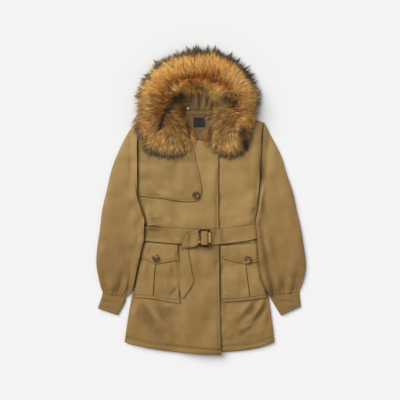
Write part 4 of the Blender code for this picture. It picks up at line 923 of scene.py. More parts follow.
def make_sleeve(side, rows, folds, under, cloth):
    """A padded tube, laid flat and gathered into its cuff."""
    stations = smooth_rows(rows, SLEEVE_STATIONS)
    turn, share = flattened_turn(SLEEVE_TURNS, 0.55)
    over = np.abs(np.sin(turn)) ** 0.75 * np.sign(np.sin(turn))
    xy = across_rows(stations, share)
    low = settle(xy, 12.0)
    width = np.linalg.norm(stations[:, 2:] - stations[:, :2], axis=-1)[:, None]
    middle = 0.5 * (stations[:, :2] + stations[:, 2:])
    from_shoulder = travelled(middle)[:, None]
    to_cuff = from_shoulder[-1] - from_shoulder
    to_body = (1 - share) * width
    full = SLEEVE_HEIGHT * (0.72 + 0.28 * ease(to_cuff / 50))
    full = full * (0.36 + 0.64 * ease(from_shoulder / 75))
    full = full * (1 - 0.36 * np.exp(-((to_body / 17) ** 2)))
    off_middle = np.abs(2 * share - 1)
    edge_round = np.clip((1 - off_middle) * width / 2 / SLEEVE_EDGE, 0, 1)
    phase = 2 * math.pi * (share * GATHERS + 0.35 * np.sin(9 * share)) + 0.02 * to_cuff
    gather = GATHER_RISE * np.exp(-to_cuff / GATHER_REACH) * np.sin(phase)
    relief = (fold_height(xy, folds) + rumple(xy, 1.7) + gather
              + pucker(share * width, to_cuff, 0.6) + pucker(share * width, from_shoulder, 0.4))
    top = OVER * full * over + 2.2 * (1 - off_middle**2.5) * ease(to_cuff / 60)
    top = np.maximum(top + relief * edge_round, 0.25 * full * over)
    z = low + UNDER * full + np.where(over > 0, top, UNDER * full * over)

    # at the armhole the underside comes down beside the body's edge
    to_armhole = np.linalg.norm(xy - xy[:1], axis=-1)
    beside = np.exp(-((to_armhole / ARMHOLE_REACH) ** 2)) * ease(to_body / 30)
    z = z - (low - 1.0) * beside * np.maximum(-over, 0)
    # and the left sleeve gets painted shade where its edge turns under against the body
    deep = np.exp(-(((xy[..., 1] - 80) / 55) ** 2))
    painted_shade = (0.42 + 0.44 * deep) * np.exp(-((np.minimum(to_armhole, to_body)
                                              / (4 + 20 * deep)) ** 2))
    painted_shade = (side == "left") * np.vstack([painted_shade[:1], painted_shade, painted_shade[-1:]])

    def turned_in(ring, inward, down, step):
        """An end of the tube, drawn in behind its seam."""
        end = ring + (ring.mean(axis=0) - ring) * (inward, inward, down)
        end[:, :2] += step
        return [end]
    rings = raised(xy, z)
    way = (middle[-1] - middle[-2]) / np.linalg.norm(middle[-1] - middle[-2])
    rings = np.concatenate([turned_in(rings[0], 0.02, 0.5, 0), rings,
                            turned_in(rings[-1], 0.03, 0.55, way * 2.0)])
    obj = ring_object(f"sleeve_{side}_cloth", rings, cloth, painted_shade, side == "left")
    heap(rings[:, :SLEEVE_TURNS // 2 + 1], 3)
    dress(obj, f"sleeve_{side}", "coat_cloth", flat=(0.42, 0.62), area=0.152, rests_on=[under])


def make_cuff(side, rows, cloth):
    """A plain band: a flat tube with a wall, open at both ends."""
    stations = smooth_rows(rows, CUFF_STATIONS)
    turn, share = flattened_turn(CUFF_TURNS, 0.5)
    over = np.abs(np.sin(turn)) ** 0.7 * np.sign(np.sin(turn))
    width = np.linalg.norm(stations[:, 2:] - stations[:, :2], axis=-1)[:, None]
    down = np.linspace(0, 1, CUFF_STATIONS)[:, None] * CUFF_LENGTH

    def face(wall, height):
        inset = wall / width
        xy = across_rows(stations, inset + (1 - 2 * inset) * share)
        z = 0.5 * CUFF_HEIGHT + 0.5 * height * over
        if wall:
            return raised(xy, np.maximum(z + 0 * down, 0.6))
        relief = fold_height(xy, FOLDS_CUFF) + rumple(xy, 0.3)
        for stitched in (6.0, CUFF_LENGTH - 6.0):
            relief = relief - 0.6 * np.exp(-((down - stitched) / 1.6) ** 2)
        return raised(xy, np.maximum(z + relief * (over > 0.3), 0.0))
    outside = face(0.0, CUFF_HEIGHT)
    inside = face(CUFF_WALL, CUFF_HOLE)
    size = CUFF_STATIONS * CUFF_TURNS
    faces = [grid_faces(CUFF_STATIONS, CUFF_TURNS, around=True),
             grid_faces(CUFF_STATIONS, CUFF_TURNS, size, around=True, flip=True)]
    spots = np.arange(size).reshape(CUFF_STATIONS, CUFF_TURNS)
    for first, order in ((spots[0], 1), (spots[-1], -1)):
        after = np.roll(first, -1)
        faces.append(np.stack([first, after, after + size, first + size], axis=-1)[:, ::order])
    obj = mesh_object(f"cuff_{side}_cloth", np.stack([outside, inside]), faces, cloth,
                      inside_out=side == "left")
    half = CUFF_TURNS // 2
    heap(outside[:, :half + 1], 3)
    for station in (2, CUFF_STATIONS - 2):
        stitch_along(outside[station, 3:half - 2] + STITCH_LIFT)
    dress(obj, f"cuff_{side}", "coat_cloth", flat=(0.19, 0.065), area=0.0115)


# shares across a strap, where its rows of stitches are, how they shape it, and its painted shade
STRAP_SHARE = np.linspace(0, 1, BELT_COLUMNS)
STRAP_RIBS = (0.07, 0.21, 0.36, 0.5, 0.64, 0.79, 0.93)
RIB_HALF = 0.026
STRAP_GROOVE = sum(np.exp(-((STRAP_SHARE - rib) / RIB_HALF) ** 2) for rib in STRAP_RIBS)
STRAP_EDGE = np.clip(np.minimum(STRAP_SHARE, 1 - STRAP_SHARE) / 0.03, 0, 1)
STRAP_ROLL = np.sqrt(1 - (1 - STRAP_EDGE) ** 2)
STRAP_TOP = (BELT_THICK * (0.45 + 0.55 * STRAP_ROLL) + 0.6 * (1 - STRAP_GROOVE) * STRAP_EDGE)
STRAP_BOTTOM = 0.3 * BELT_THICK * (1 - STRAP_ROLL)
# a little darker all over, and painted shade in the stitched grooves
STRAP_TONE_AND_SHADE = 0.04 + 0.09 * STRAP_GROOVE


def strap(name, low, facing, cloth):
    """A stitched strap from its lower sheet and the way its top faces."""
    return shell(name, low + facing * STRAP_TOP[:, None], low + facing * STRAP_BOTTOM[:, None],
                 cloth, np.broadcast_to(STRAP_TONE_AND_SHADE, low.shape[:2]))


def stitch_ribs(*sheets):
    for rib in STRAP_RIBS:
        for sheet in sheets:
            stitch_along(sheet[:, round(rib * (BELT_COLUMNS - 1))], pitch=3.8, length=2.4)


def upright(sheet, way=1.0):
    """The same way up or down for every point of a sheet."""
    return np.broadcast_to((0, 0, way), sheet.shape)


BUCKLE_BAR = 0.5 * (BUCKLE_SIZE[0] - BUCKLE_SIDE)   # from the buckle's middle to a side bar


def make_belt(cloth):
    """One strap round the coat, from under the buckle round the back to its other side."""
    right_bar = BUCKLE_CENTRE[0] + BUCKLE_BAR

    def front_run(side, end, inset, shares, middle_x):
        """The belt's front, between the buckle and a side of the coat."""
        edge_x = np.array([side_at(side, end[2]), side_at(side, end[1])])
        x = middle_x + (edge_x - inset - middle_x) * shares[:, None]
        belt_x, upper, lower = zip(*BELT_FRONT)
        xy = across_rows(np.column_stack([x[:, 0], np.interp(x[:, 0], belt_x, lower),
                                          x[:, 1], np.interp(x[:, 1], belt_x, upper)]),
                         STRAP_SHARE)
        return raised(xy, settle(xy, 7.0) + rumple(xy, 1.0) + 1.6)
    left = front_run(SIDE_LEFT, BELT_FRONT[-1], 4.0, np.linspace(1e-6, 1, 36), right_bar + 0.2)
    right = front_run(SIDE_RIGHT, BELT_FRONT[0], -4.0, np.linspace(1, 1e-6, 44),
                      BUCKLE_CENTRE[0] - 3.2)
    level = right[-1, :, 2].max() + BELT_THICK + 2 * GAP
    near = ease(1 - (left[:, 0, 0] - right_bar) / 60)
    left[:, :, 2] = np.maximum(left[:, :, 2], near[:, None] * level)

    def turn(side, sign, last):
        """Round a side of the coat, from its front to its back, and the way out there."""
        angle = np.linspace(0.3, math.pi - 0.3, 9)[:, None]
        x = side_at(side, last[:, 1]) + sign * 1.5 * np.sin(angle) ** 0.5
        z = BELT_THICK + (last[:, 2] - BELT_THICK) * (0.5 + 0.5 * np.cos(angle))
        low = np.stack([x, np.broadcast_to(last[:, 1], x.shape), z], axis=-1)
        out = np.stack([sign * np.sin(angle), 0 * angle, np.cos(angle)], axis=-1)
        return low, np.broadcast_to(out, low.shape)
    share = np.linspace(0, 1, 30)[:, None, None]
    back = left[-1] * (1 - share) + right[0] * share
    back[..., 2] = BELT_THICK + 0.6
    left_turn, left_out = turn(SIDE_LEFT, 1, left[-1])
    right_turn, right_out = turn(SIDE_RIGHT, -1, right[0])
    low = np.concatenate([left, left_turn, back, right_turn[::-1], right])
    facing = np.concatenate([upright(left), left_out, upright(back, -1.0), right_out[::-1],
                             upright(right)])
    obj = strap("belt_round_cloth", low, facing, cloth)
    stitch_ribs(low + facing * (STRAP_TOP[:, None] + 0.12))
    for vertex in obj.data.vertices:
        vertex.co.z = max(vertex.co.z, 0.0)     # never under the floor
    for run in (left, right):
        heap(run + (0, 0, BELT_THICK + 0.4))
    dress(obj, "belt_round", "belt_cloth", flat=(0.05, 0.80),
          rests_on=["front_right", "front_left"])


def make_belt_end(cloth):
    """The strap through the buckle, folded over itself and hanging down the skirt.

    Returns the height at which the buckle lies.
    """
    xy = across_rows(smooth_rows(TAIL_ROWS, 70), STRAP_SHARE)
    face = np.array([0, 0, BELT_THICK])
    tail = raised(xy, settle(xy, 5.0) + 0.3 * rumple(xy, 0.8)) + face
    heap(tail + (0, 0, 0.5))

    centre_x, centre_y = BUCKLE_CENTRE
    half = 0.5 * BUCKLE_SIZE[1] - BUCKLE_END - 0.8
    offset = np.linspace(-BUCKLE_BAR - 5, BUCKLE_BAR - 0.4, 34)
    x, y = centre_x + offset, np.full(34, centre_y)
    rows = np.vstack([smooth_rows(STRAP_ROWS, STRAP_STATIONS),
                      np.column_stack([x, y - half, x, y + half])])
    lift = np.zeros(len(rows))
    lift[STRAP_STATIONS:] = ease((BUCKLE_BAR - 3.0 - abs(offset)) / 7.0)
    xy = across_rows(rows, STRAP_SHARE)
    z = settle(xy, 5.0)
    level = z[STRAP_STATIONS:].max()
    near = ease((np.arange(len(rows)) - 8) / 14.0)[:, None]
    z = z * (1 - near) + level * near
    z = z + lift[:, None] * (2 * GAP + 0.5 + BELT_THICK + BUCKLE_SIZE[2])
    through = raised(xy, z)

    # the fold: the tail's lower face turns round the outside and becomes the strap's top
    along = tail[-1, -1, :2] - tail[-1, 0, :2]
    outward = np.array([-along[1], along[0], 0]) / np.linalg.norm(along)
    angle = np.linspace(-1.2, 1.2, 9)[:, None, None]
    radial = outward * np.cos(angle) + np.array([0, 0, 1.0]) * np.sin(angle)
    fold = (0.5 * (tail[-1] + through[0]) + 0.5 * (through[0] - tail[-1]) * np.sin(angle)
            + radial * 0.4)
    low = np.concatenate([tail, fold, through])
    facing = np.concatenate([upright(tail, -1.0), np.broadcast_to(radial, fold.shape),
                             upright(through)])
    obj = strap("belt_end_cloth", low, facing, cloth)
    stitch_ribs(tail[:-3] + (0, 0, 0.3), through[3:] + face + (0, 0, 0.3))
    heap(through + face)
    dress(obj, "belt_end", "belt_cloth", flat=(0.048, 0.30), area=0.0138,
          rests_on=["belt_round", "front_right"])
    return level + BELT_THICK + 0.8


def make_buckle(level, material):
    """A rectangle of round bars with the strap over its middle bar."""
    width, height, thick = BUCKLE_SIZE
    edge, corner, window_corner = 1.5, 8.0, 3.6
    middle_bar = 6.0
    steps = 9
    window = 0.5 * (width - middle_bar) - BUCKLE_SIDE
    offset = 0.5 * (middle_bar + window)
    curve = bpy.data.curves.new("buckle_frame", "CURVE")
    curve.dimensions = "2D"
    curve.fill_mode = "BOTH"
    curve.extrude = (0.5 * thick - edge) * MM
    curve.bevel_depth = edge * MM
    curve.bevel_resolution = 4
    boxes = [(width - 2 * edge, height - 2 * edge, corner, 0.0)]
    boxes += [(window + 2 * edge, height - 2 * BUCKLE_END + 2 * edge, window_corner,
               sign * offset) for sign in (-1, 1)]
    for box_width, box_height, radius, middle in boxes:
        spline = curve.splines.new("POLY")
        spline.points.add(4 * steps - 1)
        spots = iter(spline.points)
        for quarter, (sign_x, sign_y) in enumerate(((1, 1), (-1, 1), (-1, -1), (1, -1))):
            for angle in np.linspace(0, math.pi / 2, steps) + math.pi / 2 * quarter:
                x = middle + sign_x * (0.5 * box_width - radius) + radius * math.cos(angle)
                y = sign_y * (0.5 * box_height - radius) + radius * math.sin(angle)
                next(spots).co = (x * MM, y * MM, 0.0, 1.0)
        spline.use_cyclic_u = True
    made = placed("buckle_curve", curve)
    graph = bpy.context.evaluated_depsgraph_get()
    mesh = bpy.data.meshes.new_from_object(made.evaluated_get(graph))
    bpy.data.objects.remove(made, do_unlink=True)
    mesh.name = "buckle_frame"
    mesh.materials.clear()
    mesh.materials.append(material)
    mesh.shade_smooth()
    obj = placed("buckle_frame", mesh)
    for vertex in mesh.vertices:
        vertex.co.x += BUCKLE_CENTRE[0] * MM
        vertex.co.y += BUCKLE_CENTRE[1] * MM
        vertex.co.z += (level + 0.5 * thick) * MM
    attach(obj, "root")
    dress(obj, "buckle", "tortoiseshell")


def lathe(profile, turns):
    """Rings of points from a profile's radii and heights."""
    profile = np.array(profile)
    angle = circle(turns)
    radius = profile[:, :1]
    return np.stack([radius * np.cos(angle), radius * np.sin(angle),
                     np.broadcast_to(profile[:, 1:], (len(profile), turns))], axis=-1)


# a button from the middle of its top over its rim to the middle below: shares of its radius,
# and heights; its holes go through the first rings
BUTTON_PROFILE = [(0.0, 2.7), (0.06, 2.7), (0.12, 2.7), (0.18, 2.7), (0.24, 2.7), (0.3, 2.72),
                  (0.36, 2.74), (0.42, 2.78), (0.5, 2.85), (0.58, 3.0), (0.66, 3.5),
                  (0.72, 4.1), (0.8, 4.45), (0.88, 4.45), (0.95, 4.0), (0.99, 3.2),
                  (1.0, 2.2), (0.97, 1.0), (0.88, 0.2), (0.6, 0.0), (0.0, 0.0)]
HOLED_RINGS = 15
HOLE_OUT, HOLE_RADIUS, HOLE_DEPTH = 3.0, 1.25, 2.3
CROSS_LENGTH = 6.4      # of the thread between two holes
STUD_PROFILE = [(0.0, 2.0), (1.2, 2.0), (1.7, 2.6), (2.6, 3.0), (3.4, 2.5), (4.4, 2.0),
                (5.0, 1.5), (5.2, 0.7), (5.0, 0.0), (0.0, 0.0)]


def make_buttons(material):
    """Dished resin buttons with four holes, sewn on with a cross of thread."""
    button = lathe(BUTTON_PROFILE, BUTTON_TURNS) * (BUTTON_RADIUS, BUTTON_RADIUS, 1)
    for turn in math.pi / 4 + circle(4):
        away = np.hypot(button[..., 0] - HOLE_OUT * math.cos(turn),
                        button[..., 1] - HOLE_OUT * math.sin(turn))
        button[:HOLED_RINGS, :, 2] -= (HOLE_DEPTH * ease(1.6 - away / HOLE_RADIUS))[:HOLED_RINGS]
    around = BUTTON_RADIUS * np.column_stack([np.cos(circle(8)), np.sin(circle(8))])
    for name, (x, y) in BUTTONS.items():
        base = settle(around + (x, y), 3.0).max()
        dress(ring_object(f"{name}_resin", button + (x, y, base), material, inside_out=True),
              name, "tortoiseshell")
        for turn in (math.pi / 4, 3 * math.pi / 4):
            run = np.array([(math.cos(turn), math.sin(turn), 0)]) * CROSS_LENGTH
            THREAD.append((np.array([(x, y, base + 3.0)]), run))


def make_hood(cloth):
    """A dish of cloth behind the neck: flat on the floor, its edge standing up."""
    spot = np.arange(HOOD_TURNS)
    outline = smooth_line(HOOD_OUTLINE + HOOD_OUTLINE[:1])(spot / HOOD_TURNS)
    centre = np.array(HOOD_CENTRE, float)
    rise = HOOD_RISE * ease((outline[:, 1] - HOOD_FRONT) / HOOD_RAMP)
    ripple = 1.4 * np.sin(spot * 2 * math.pi * 9 / HOOD_TURNS + 1.2 * np.sin(spot * 0.21))
    reach = np.linalg.norm(outline - centre, axis=1)
    way = (outline - centre) / reach[:, None]
    # The rings go from the middle of the underside out, over the edge and back on the inside.
    # Each has its share of the reach, its depth in the wall and its share of the rise.
    floor = [(0.3, 0.0), (0.6, 0.0), (0.85, 0.0), (0.95, 0.0)]
    wall = [(1.0, share) for share in (0.12, 0.3, 0.5, 0.7, 0.86, 0.96)]
    profile = [(share, 0, part) for share, part in floor + [(0.99, 0.03)] + wall]
    profile += [(1.0, HOOD_WALL * 0.5, 1.0)]
    profile += [(share, HOOD_WALL, part)
                for share, part in wall[::-1] + [(0.985, 0.03)] + floor[::-1]]
    rings = []
    for share, thick, part in profile:
        radius = reach * share - (thick if share > 0.9 else 0.0) + ripple * 0.6 * part
        flat = thick if share < 0.97 else thick * 0.8
        height = np.where(rise > 1, rise * part + (thick if part < 0.1 else 0.0), flat)
        rings.append(raised(centre + way * radius[:, None], height))
    rings = np.array(rings)
    points = np.vstack([rings.reshape(-1, 3), (*centre, HOOD_WALL), (*centre, 0.0)])
    after = (spot + 1) % HOOD_TURNS
    last = (len(rings) - 1) * HOOD_TURNS
    middle = np.full(HOOD_TURNS, len(points) - 1)
    faces = [grid_faces(len(rings), HOOD_TURNS, around=True),
             np.stack([last + spot, middle - 1, last + after], axis=-1),
             np.stack([after, middle, spot], axis=-1)]
    obj = mesh_object("hood_cloth", points, faces, cloth)
    crest = len(rings) // 2
    inside = np.concatenate([rings[crest:], rings[crest:, :1]], axis=1)
    heap(np.concatenate([inside, np.broadcast_to(points[-2], inside[:1].shape)]), 6)
    dress(obj, "hood_shell", "coat_cloth", flat=(0.42, 0.26), area=0.085)


def make_hood_inside(cloth, lining, label, metal):
    """What shows inside the hood and the neck: lining, tape, label, loop and press studs."""
    soft = (1.8, 1.6, 10.0, 0.0, 0.0, 0.5)
    obj = panel("hood_lining_cloth",
                ([(-104, 311), (104, 311)],
                 [(-96, 384), (-60, 410), (0, 420), (60, 410), (96, 384)],
                 [(-104, 311), (-96, 384)], [(104, 311), (96, 384)]),
                2.6, 2.5, (soft,) * 4, lining, reach=4.0, folds=FOLDS_LINING, uneven=0.3,
                insets=(1.0, 2.6))
    dress(obj, "hood_lining", "lining_cloth", flat=(0.24, 0.11), area=0.0225, held="gathered",
          rests_on=["hood_shell"])

    edge = (1.2, 0.9, 4.0, 2.0, 0.3, 0.15)
    tape = panel("neck_tape_cloth", box_edges(-64, 66, 297.2, 309.2), 3.0, 1.4, (edge,) * 4,
                 cloth, reach=4.0, uneven=0.15, insets=(0.6, 1.4, 2.6))
    dress(tape, "neck_tape", "coat_cloth", flat=(0.13, 0.012),
          rests_on=["back_body", "hood_shell"])

    thin = (0.9, 0.6, 3.0, 0.0, 0.0, 0.0)
    tag = panel("label_cloth", box_edges(-26, 14, 253, 284.5), 2.4, 1.0, (thin,) * 4, label,
                reach=4.0, uneven=0.1, insets=(0.5, 1.2))
    dress(tag, "label", "label_cloth", flat=(0.04, 0.0315), rests_on=["back_facing"])

    # the hanger loop is a round cord along a level route, tapered at its ends
    route = smooth_line([(-27, 295), (-22, 290.5), (-13, 286.8), (-3, 286.4), (7, 289.5),
                         (12, 295)])(np.linspace(0, 1, 40))
    z = settle(route, 4.0).max() + 1.9
    tangent = np.gradient(route, axis=0)
    tangent /= np.linalg.norm(tangent, axis=1)[:, None]
    side = np.stack([-tangent[:, 1], tangent[:, 0]], axis=-1)
    radius = np.full((len(route), 1), 1.7)
    radius[[0, -1]] *= 0.2
    xy = route[:, None] + side[:, None] * (radius * np.cos(circle(12)))[..., None]
    cord = raised(xy, z + radius * np.sin(circle(12)))
    dress(ring_object("hanger_loop_cord", cord, cloth), "hanger_loop", "coat_cloth")

    for name, (x, y) in (("snap_right", (-45, 317)), ("snap_left", (27, 317))):
        base = settle(np.array([x, y]), 6.0)
        stud = lathe(STUD_PROFILE, STUD_TURNS) + (x, y, base)
        dress(ring_object(f"{name}_stud", stud, metal, inside_out=True), name, "snap_metal")


def make_stitching(material):
    """Every stitch of the coat, as one mesh of small spindles."""
    middle, run = [np.concatenate(parts) for parts in zip(*THREAD)]
    length = np.linalg.norm(run, axis=1)[:, None]
    way = run / np.maximum(length, 1e-6)
    aside = np.stack([-way[:, 1], way[:, 0], np.zeros(len(way))], axis=-1)
    up = np.cross(way, aside)
    up *= np.sign(up[:, 2:3] + 1e-9)
    rings = []
    for share, size in ((-0.5, 0.25), (0.0, 1.1), (0.5, 0.25)):
        for turn in circle(4) + math.pi / 4:
            rings.append(middle + run * share + aside * STITCH_WIDE * size * math.cos(turn)
                         + up * STITCH_TALL * size * math.sin(turn))
    one = np.vstack([grid_faces(3, 4, around=True), [(0, 1, 2, 3)], [(11, 10, 9, 8)]])
    faces = one[None] + (np.arange(len(middle)) * 12)[:, None, None]
    obj = mesh_object("stitching", np.stack(rings, axis=1), [faces.reshape(-1, 4)], material)


# ---- fur ----
FUR_CLEAR = 1.5         # between the hair and what it lies on
FUR_LOWEST = 12.0       # the least height of the ruff's parting over that
FUR_THINNEST = 2.0      # the least thickness of the fur, at its edges
# the strokes of painted shade also sink the ruff, by this share of its height
VALLEY = 0.30           # how far the dark strokes sink, as a share of the height
CHEST_Y, CHEST_REACH = 325.0, 85.0      # where the ruff comes down to the chest


def near_strokes(spot, strokes):
    """How near a point is to the closest of some soft strokes, from 0 to its strength."""
    x, y = spot.T
    best = np.zeros_like(x)
    for x0, y0, x1, y1, half, strength in strokes:
        run_x, run_y = x1 - x0, y1 - y0
        share = ((x - x0) * run_x + (y - y0) * run_y) / (run_x**2 + run_y**2)
        share = np.clip(share, 0, 1)
        away = np.hypot(x - x0 - share * run_x, y - y0 - share * run_y)
        best = np.maximum(best, strength * np.exp(-((away / half) ** 2)))
    return best


def fur_place(station, share):
    """The ground point at a station and a share, and the crest there. The share runs from
    the inner tips (-1) over the parting (0) to the outer tips (1)."""
    place = station * (len(FUR_SMOOTH) - 1)
    low = np.clip(place.astype(int), 0, len(FUR_SMOOTH) - 2)
    part = (place - low)[:, None]
    row = FUR_SMOOTH[low] * (1 - part) + FUR_SMOOTH[low + 1] * part
    middle, inner, outer, crest = row[:, 0:2], row[:, 2:4], row[:, 4:6], row[:, 6]
    share = share[:, None]
    tips = np.where(share > 0, outer, inner)
    return middle + (tips - middle) * np.abs(share), crest


def fur_floor(spot):
    """What the hair lies on, kept just clear."""
    return sample(PILE_UNDER_FUR, spot) + FUR_CLEAR


def ruff_surface():
    """Heights of the ruff's surface, on the grid of the pile."""
    station, share = np.meshgrid(np.linspace(0, 1, 900), np.linspace(-1.15, 1.2, 160),
                                 indexing="ij")
    station, share = station.ravel(), share.ravel()
    spot, crest = fur_place(station, share)
    outer = np.sqrt(1 - 0.996 * np.clip(share, 0, 1) ** 2.4)
    inner = np.clip(1 - 0.86 * np.clip(-share, 0, 1.15) ** 1.3, 0.05, 1)
    profile = np.where(share > 0, outer, inner)
    profile = profile * (1 - VALLEY * near_strokes(spot, FUR_SHADE))
    under = fur_floor(spot)
    field = np.zeros_like(PILE)
    raise_to(field, spot, under + np.maximum(crest - under, FUR_LOWEST) * profile)
    return softened(field, 2.0)


def fur_height(spot):
    """How high the ruff stands over what it lies on."""
    floor = fur_floor(spot)
    return floor, np.maximum(sample(RUFF, spot) - floor, FUR_THINNEST)


def mix(start, end, part):
    part = np.clip(part, 0, 1)[:, None]
    return start * (1 - part) + end * part


ROOT_COLOUR_AND_SHADE = np.array([0.10, 0.038, 0.011])
RUST = np.array([0.42, 0.125, 0.020])
GOLD = np.array([0.80, 0.385, 0.078])
PALE = np.array([0.90, 0.57, 0.190])
GREY = np.array([0.22, 0.170, 0.090])
BLACK = np.array([0.035, 0.026, 0.016])
PALE_STREAK, BLACK_STREAK = 1, 2


def fur_colour(spot, along, share, shade, tip, streak):
    """Linear colour of strands at a share of their length: dark at the root, partly the hair's
    own colour and partly painted shade, gold over most of the ruff, reddish at the parting,
    pale in streaks, grey and black at the outer tips, near black with painted shade in the
    partings and hollows, and lighter with painted light where the ruff lies in shade."""
    y = spot[:, 1]
    grey = near_strokes(spot, FUR_GREY)
    # painted light: the tips are lighter on the chest, where the lobes face away from the light
    chest = ease((290 - y) / 60)
    deep = 1 - 0.60 * chest
    dusk = mix(GREY, BLACK, tip * deep) * (1 + 0.5 * chest)[:, None]
    edge = ease((share - 0.78) / 0.14) * ease((along - 0.4) / 0.4) * (0.10 + 0.75 * grey)
    colour = mix(RUST, GOLD, 0.25 + 0.9 * ease(np.abs(share) * 2.2))
    for end, part in (
            (PALE, near_strokes(spot, FUR_PALE) * (0.4 + 0.6 * tip)),
            (RUST, near_strokes(spot, FUR_RUST)),
            (dusk, grey * (0.65 + 0.35 * ease((along - 0.1) / 0.5))), (dusk, edge),
            (PALE, (streak == PALE_STREAK) * 0.75 * ease((along - 0.3) / 0.5) * (1 - grey)),
            (BLACK, (streak == BLACK_STREAK) * 0.80 * deep * ease((along - 0.2) / 0.5)),
            # painted shade, near black, in the partings and hollows
            (BLACK, near_strokes(spot, FUR_SHADE) * (0.75 + 0.35 * tip))):
        colour = mix(colour, end, part)
    # darker toward the root: partly the hair's own colour, partly painted shade among the tufts
    colour = mix(ROOT_COLOUR_AND_SHADE, colour, ease(0.24 + 1.15 * along))
    # painted light: the inner hair at the top is lighter, for light scattered into the opening
    level = 0.70 + 0.30 * ease((y - 300) / 150)
    level = level * (1 - (0.34 - 0.80 * ease((y - 345) / 40)) * ease(-share * 4))
    return colour * (level * np.exp(shade))[:, None]


# kinds of tufts: how many in each third of the ruff, hairs in one, a hair's width, how far
# apart they root, how closely their tips gather, how far they lean aside, and how far they
# hang down on the chest
TUFTS = {"outer": (1950, 10, 1.1, 3.6, 1.5, 0.005, 0.72),
         "inner": (950, 10, 0.95, 3.4, 1.6, 0.005, 0.86),
         "fringe": (560, 7, 1.0, 3.2, 1.6, 0.005, 0.5),
         "rim": (240, 7, 1.3, 2.6, 0.7, 0.004, 0.35),
         "wisp": (200, 3, 0.6, 3.0, 1.6, 0.008, 0.35),
         "under": (330, 6, 1.4, 4.0, 2.0, 0.005, 0.35),
         "neck": (40, 7, 0.8, 3.0, 2.0, 0.004, 0.35)}
PIECES = 3              # of the ruff, for each kind
FUR_TOP = 540.0         # no hair aims beyond this
SPIKES = 150            # around the whole ruff, where the tips of the rim draw together
# hair that crosses the edge of the opening, and falls on the shoulder: root x, y, tip x, y
NECK_TUFTS = [(30, 236, 2, 204), (34, 222, 8, 192), (28, 250, -2, 220), (-36, 236, -14, 202),
              (-40, 224, -22, 190), (-34, 250, -22, 218), (32, 208, 14, 180),
              (38, 296, 12, 282), (40, 312, 14, 296), (36, 328, 16, 308),
              (-28, 390, -24, 360), (-15, 394, -12, 366), (-3, 394, -3, 364), (9, 391, 11, 358),
              (19, 389, 23, 350), (29, 385, 36, 346), (38, 378, 47, 338), (46, 370, 58, 334),
              (-208, 292, -236, 262), (-206, 280, -238, 246), (-204, 268, -232, 230),
              (-202, 256, -224, 218), (-200, 244, -214, 210), (-206, 286, -226, 236)]


def tuft_shares(random, count, kind, low):
    """Shares at which tufts of one kind root and end. low is 1 where the ruff lies on the
    chest."""
    if kind == "outer":
        root = 0.62 - 0.98 * random.random(count) ** 0.85
        tip = root + 0.34 + 0.36 * random.random(count)
        return root, np.minimum(tip, 0.66 + 0.22 * random.random(count) + 0.05 * low)
    if kind == "inner":
        root = 0.34 - random.random(count) * (0.92 + 0.20 * low)
        tip = root - 0.36 - 0.42 * random.random(count)
        return root, np.maximum(tip, -0.92 - 0.16 * random.random(count))
    if kind == "fringe":
        root = 0.40 + 0.32 * random.random(count)
        return root, np.maximum(0.76 + 0.24 * random.random(count) ** 1.2, root + 0.14)
    if kind == "under":
        root = 0.45 + 0.25 * random.random(count)
        return root, 0.80 + 0.16 * random.random(count)
    root = 0.52 + 0.22 * random.random(count)
    return root, 0.96 + 0.14 * random.random(count)


def tuft_end(random, kind, spot, end, low):
    """Hair on the chest hangs down instead of standing out, no lower than the lobes."""
    way = end - spot
    length = np.maximum(np.linalg.norm(way, axis=1), 1.0)
    hang = low * TUFTS[kind][-1]
    way = way / length[:, None] * (1 - hang)[:, None] + np.outer(hang, (0.0, -1.0))
    way /= np.linalg.norm(way, axis=1)[:, None]
    if kind in ("outer", "inner"):
        length = length * (1 - low) + low * (36 + 40 * random.random(len(low)))
    end = spot + way * length[:, None]
    if kind in ("outer", "inner"):
        lobe_x, lobe_y = zip(*sorted((row[4], row[5]) for row in FUR_ROWS if row[5] < 260))
        limit = (np.interp(end[:, 0], lobe_x, lobe_y) + 5
                 + 24 * random.random(len(low)) ** 1.5)
        limit = np.minimum(np.where(low > 0, limit, -1e3), spot[:, 1] - 4)
        end[:, 1] = np.maximum(end[:, 1], limit)
    return end


def fur_station(place):
    """The station at a share of the way round the ruff."""
    return np.interp(place, FUR_TRAVEL / FUR_TRAVEL[-1], np.linspace(0, 1, len(FUR_TRAVEL)))


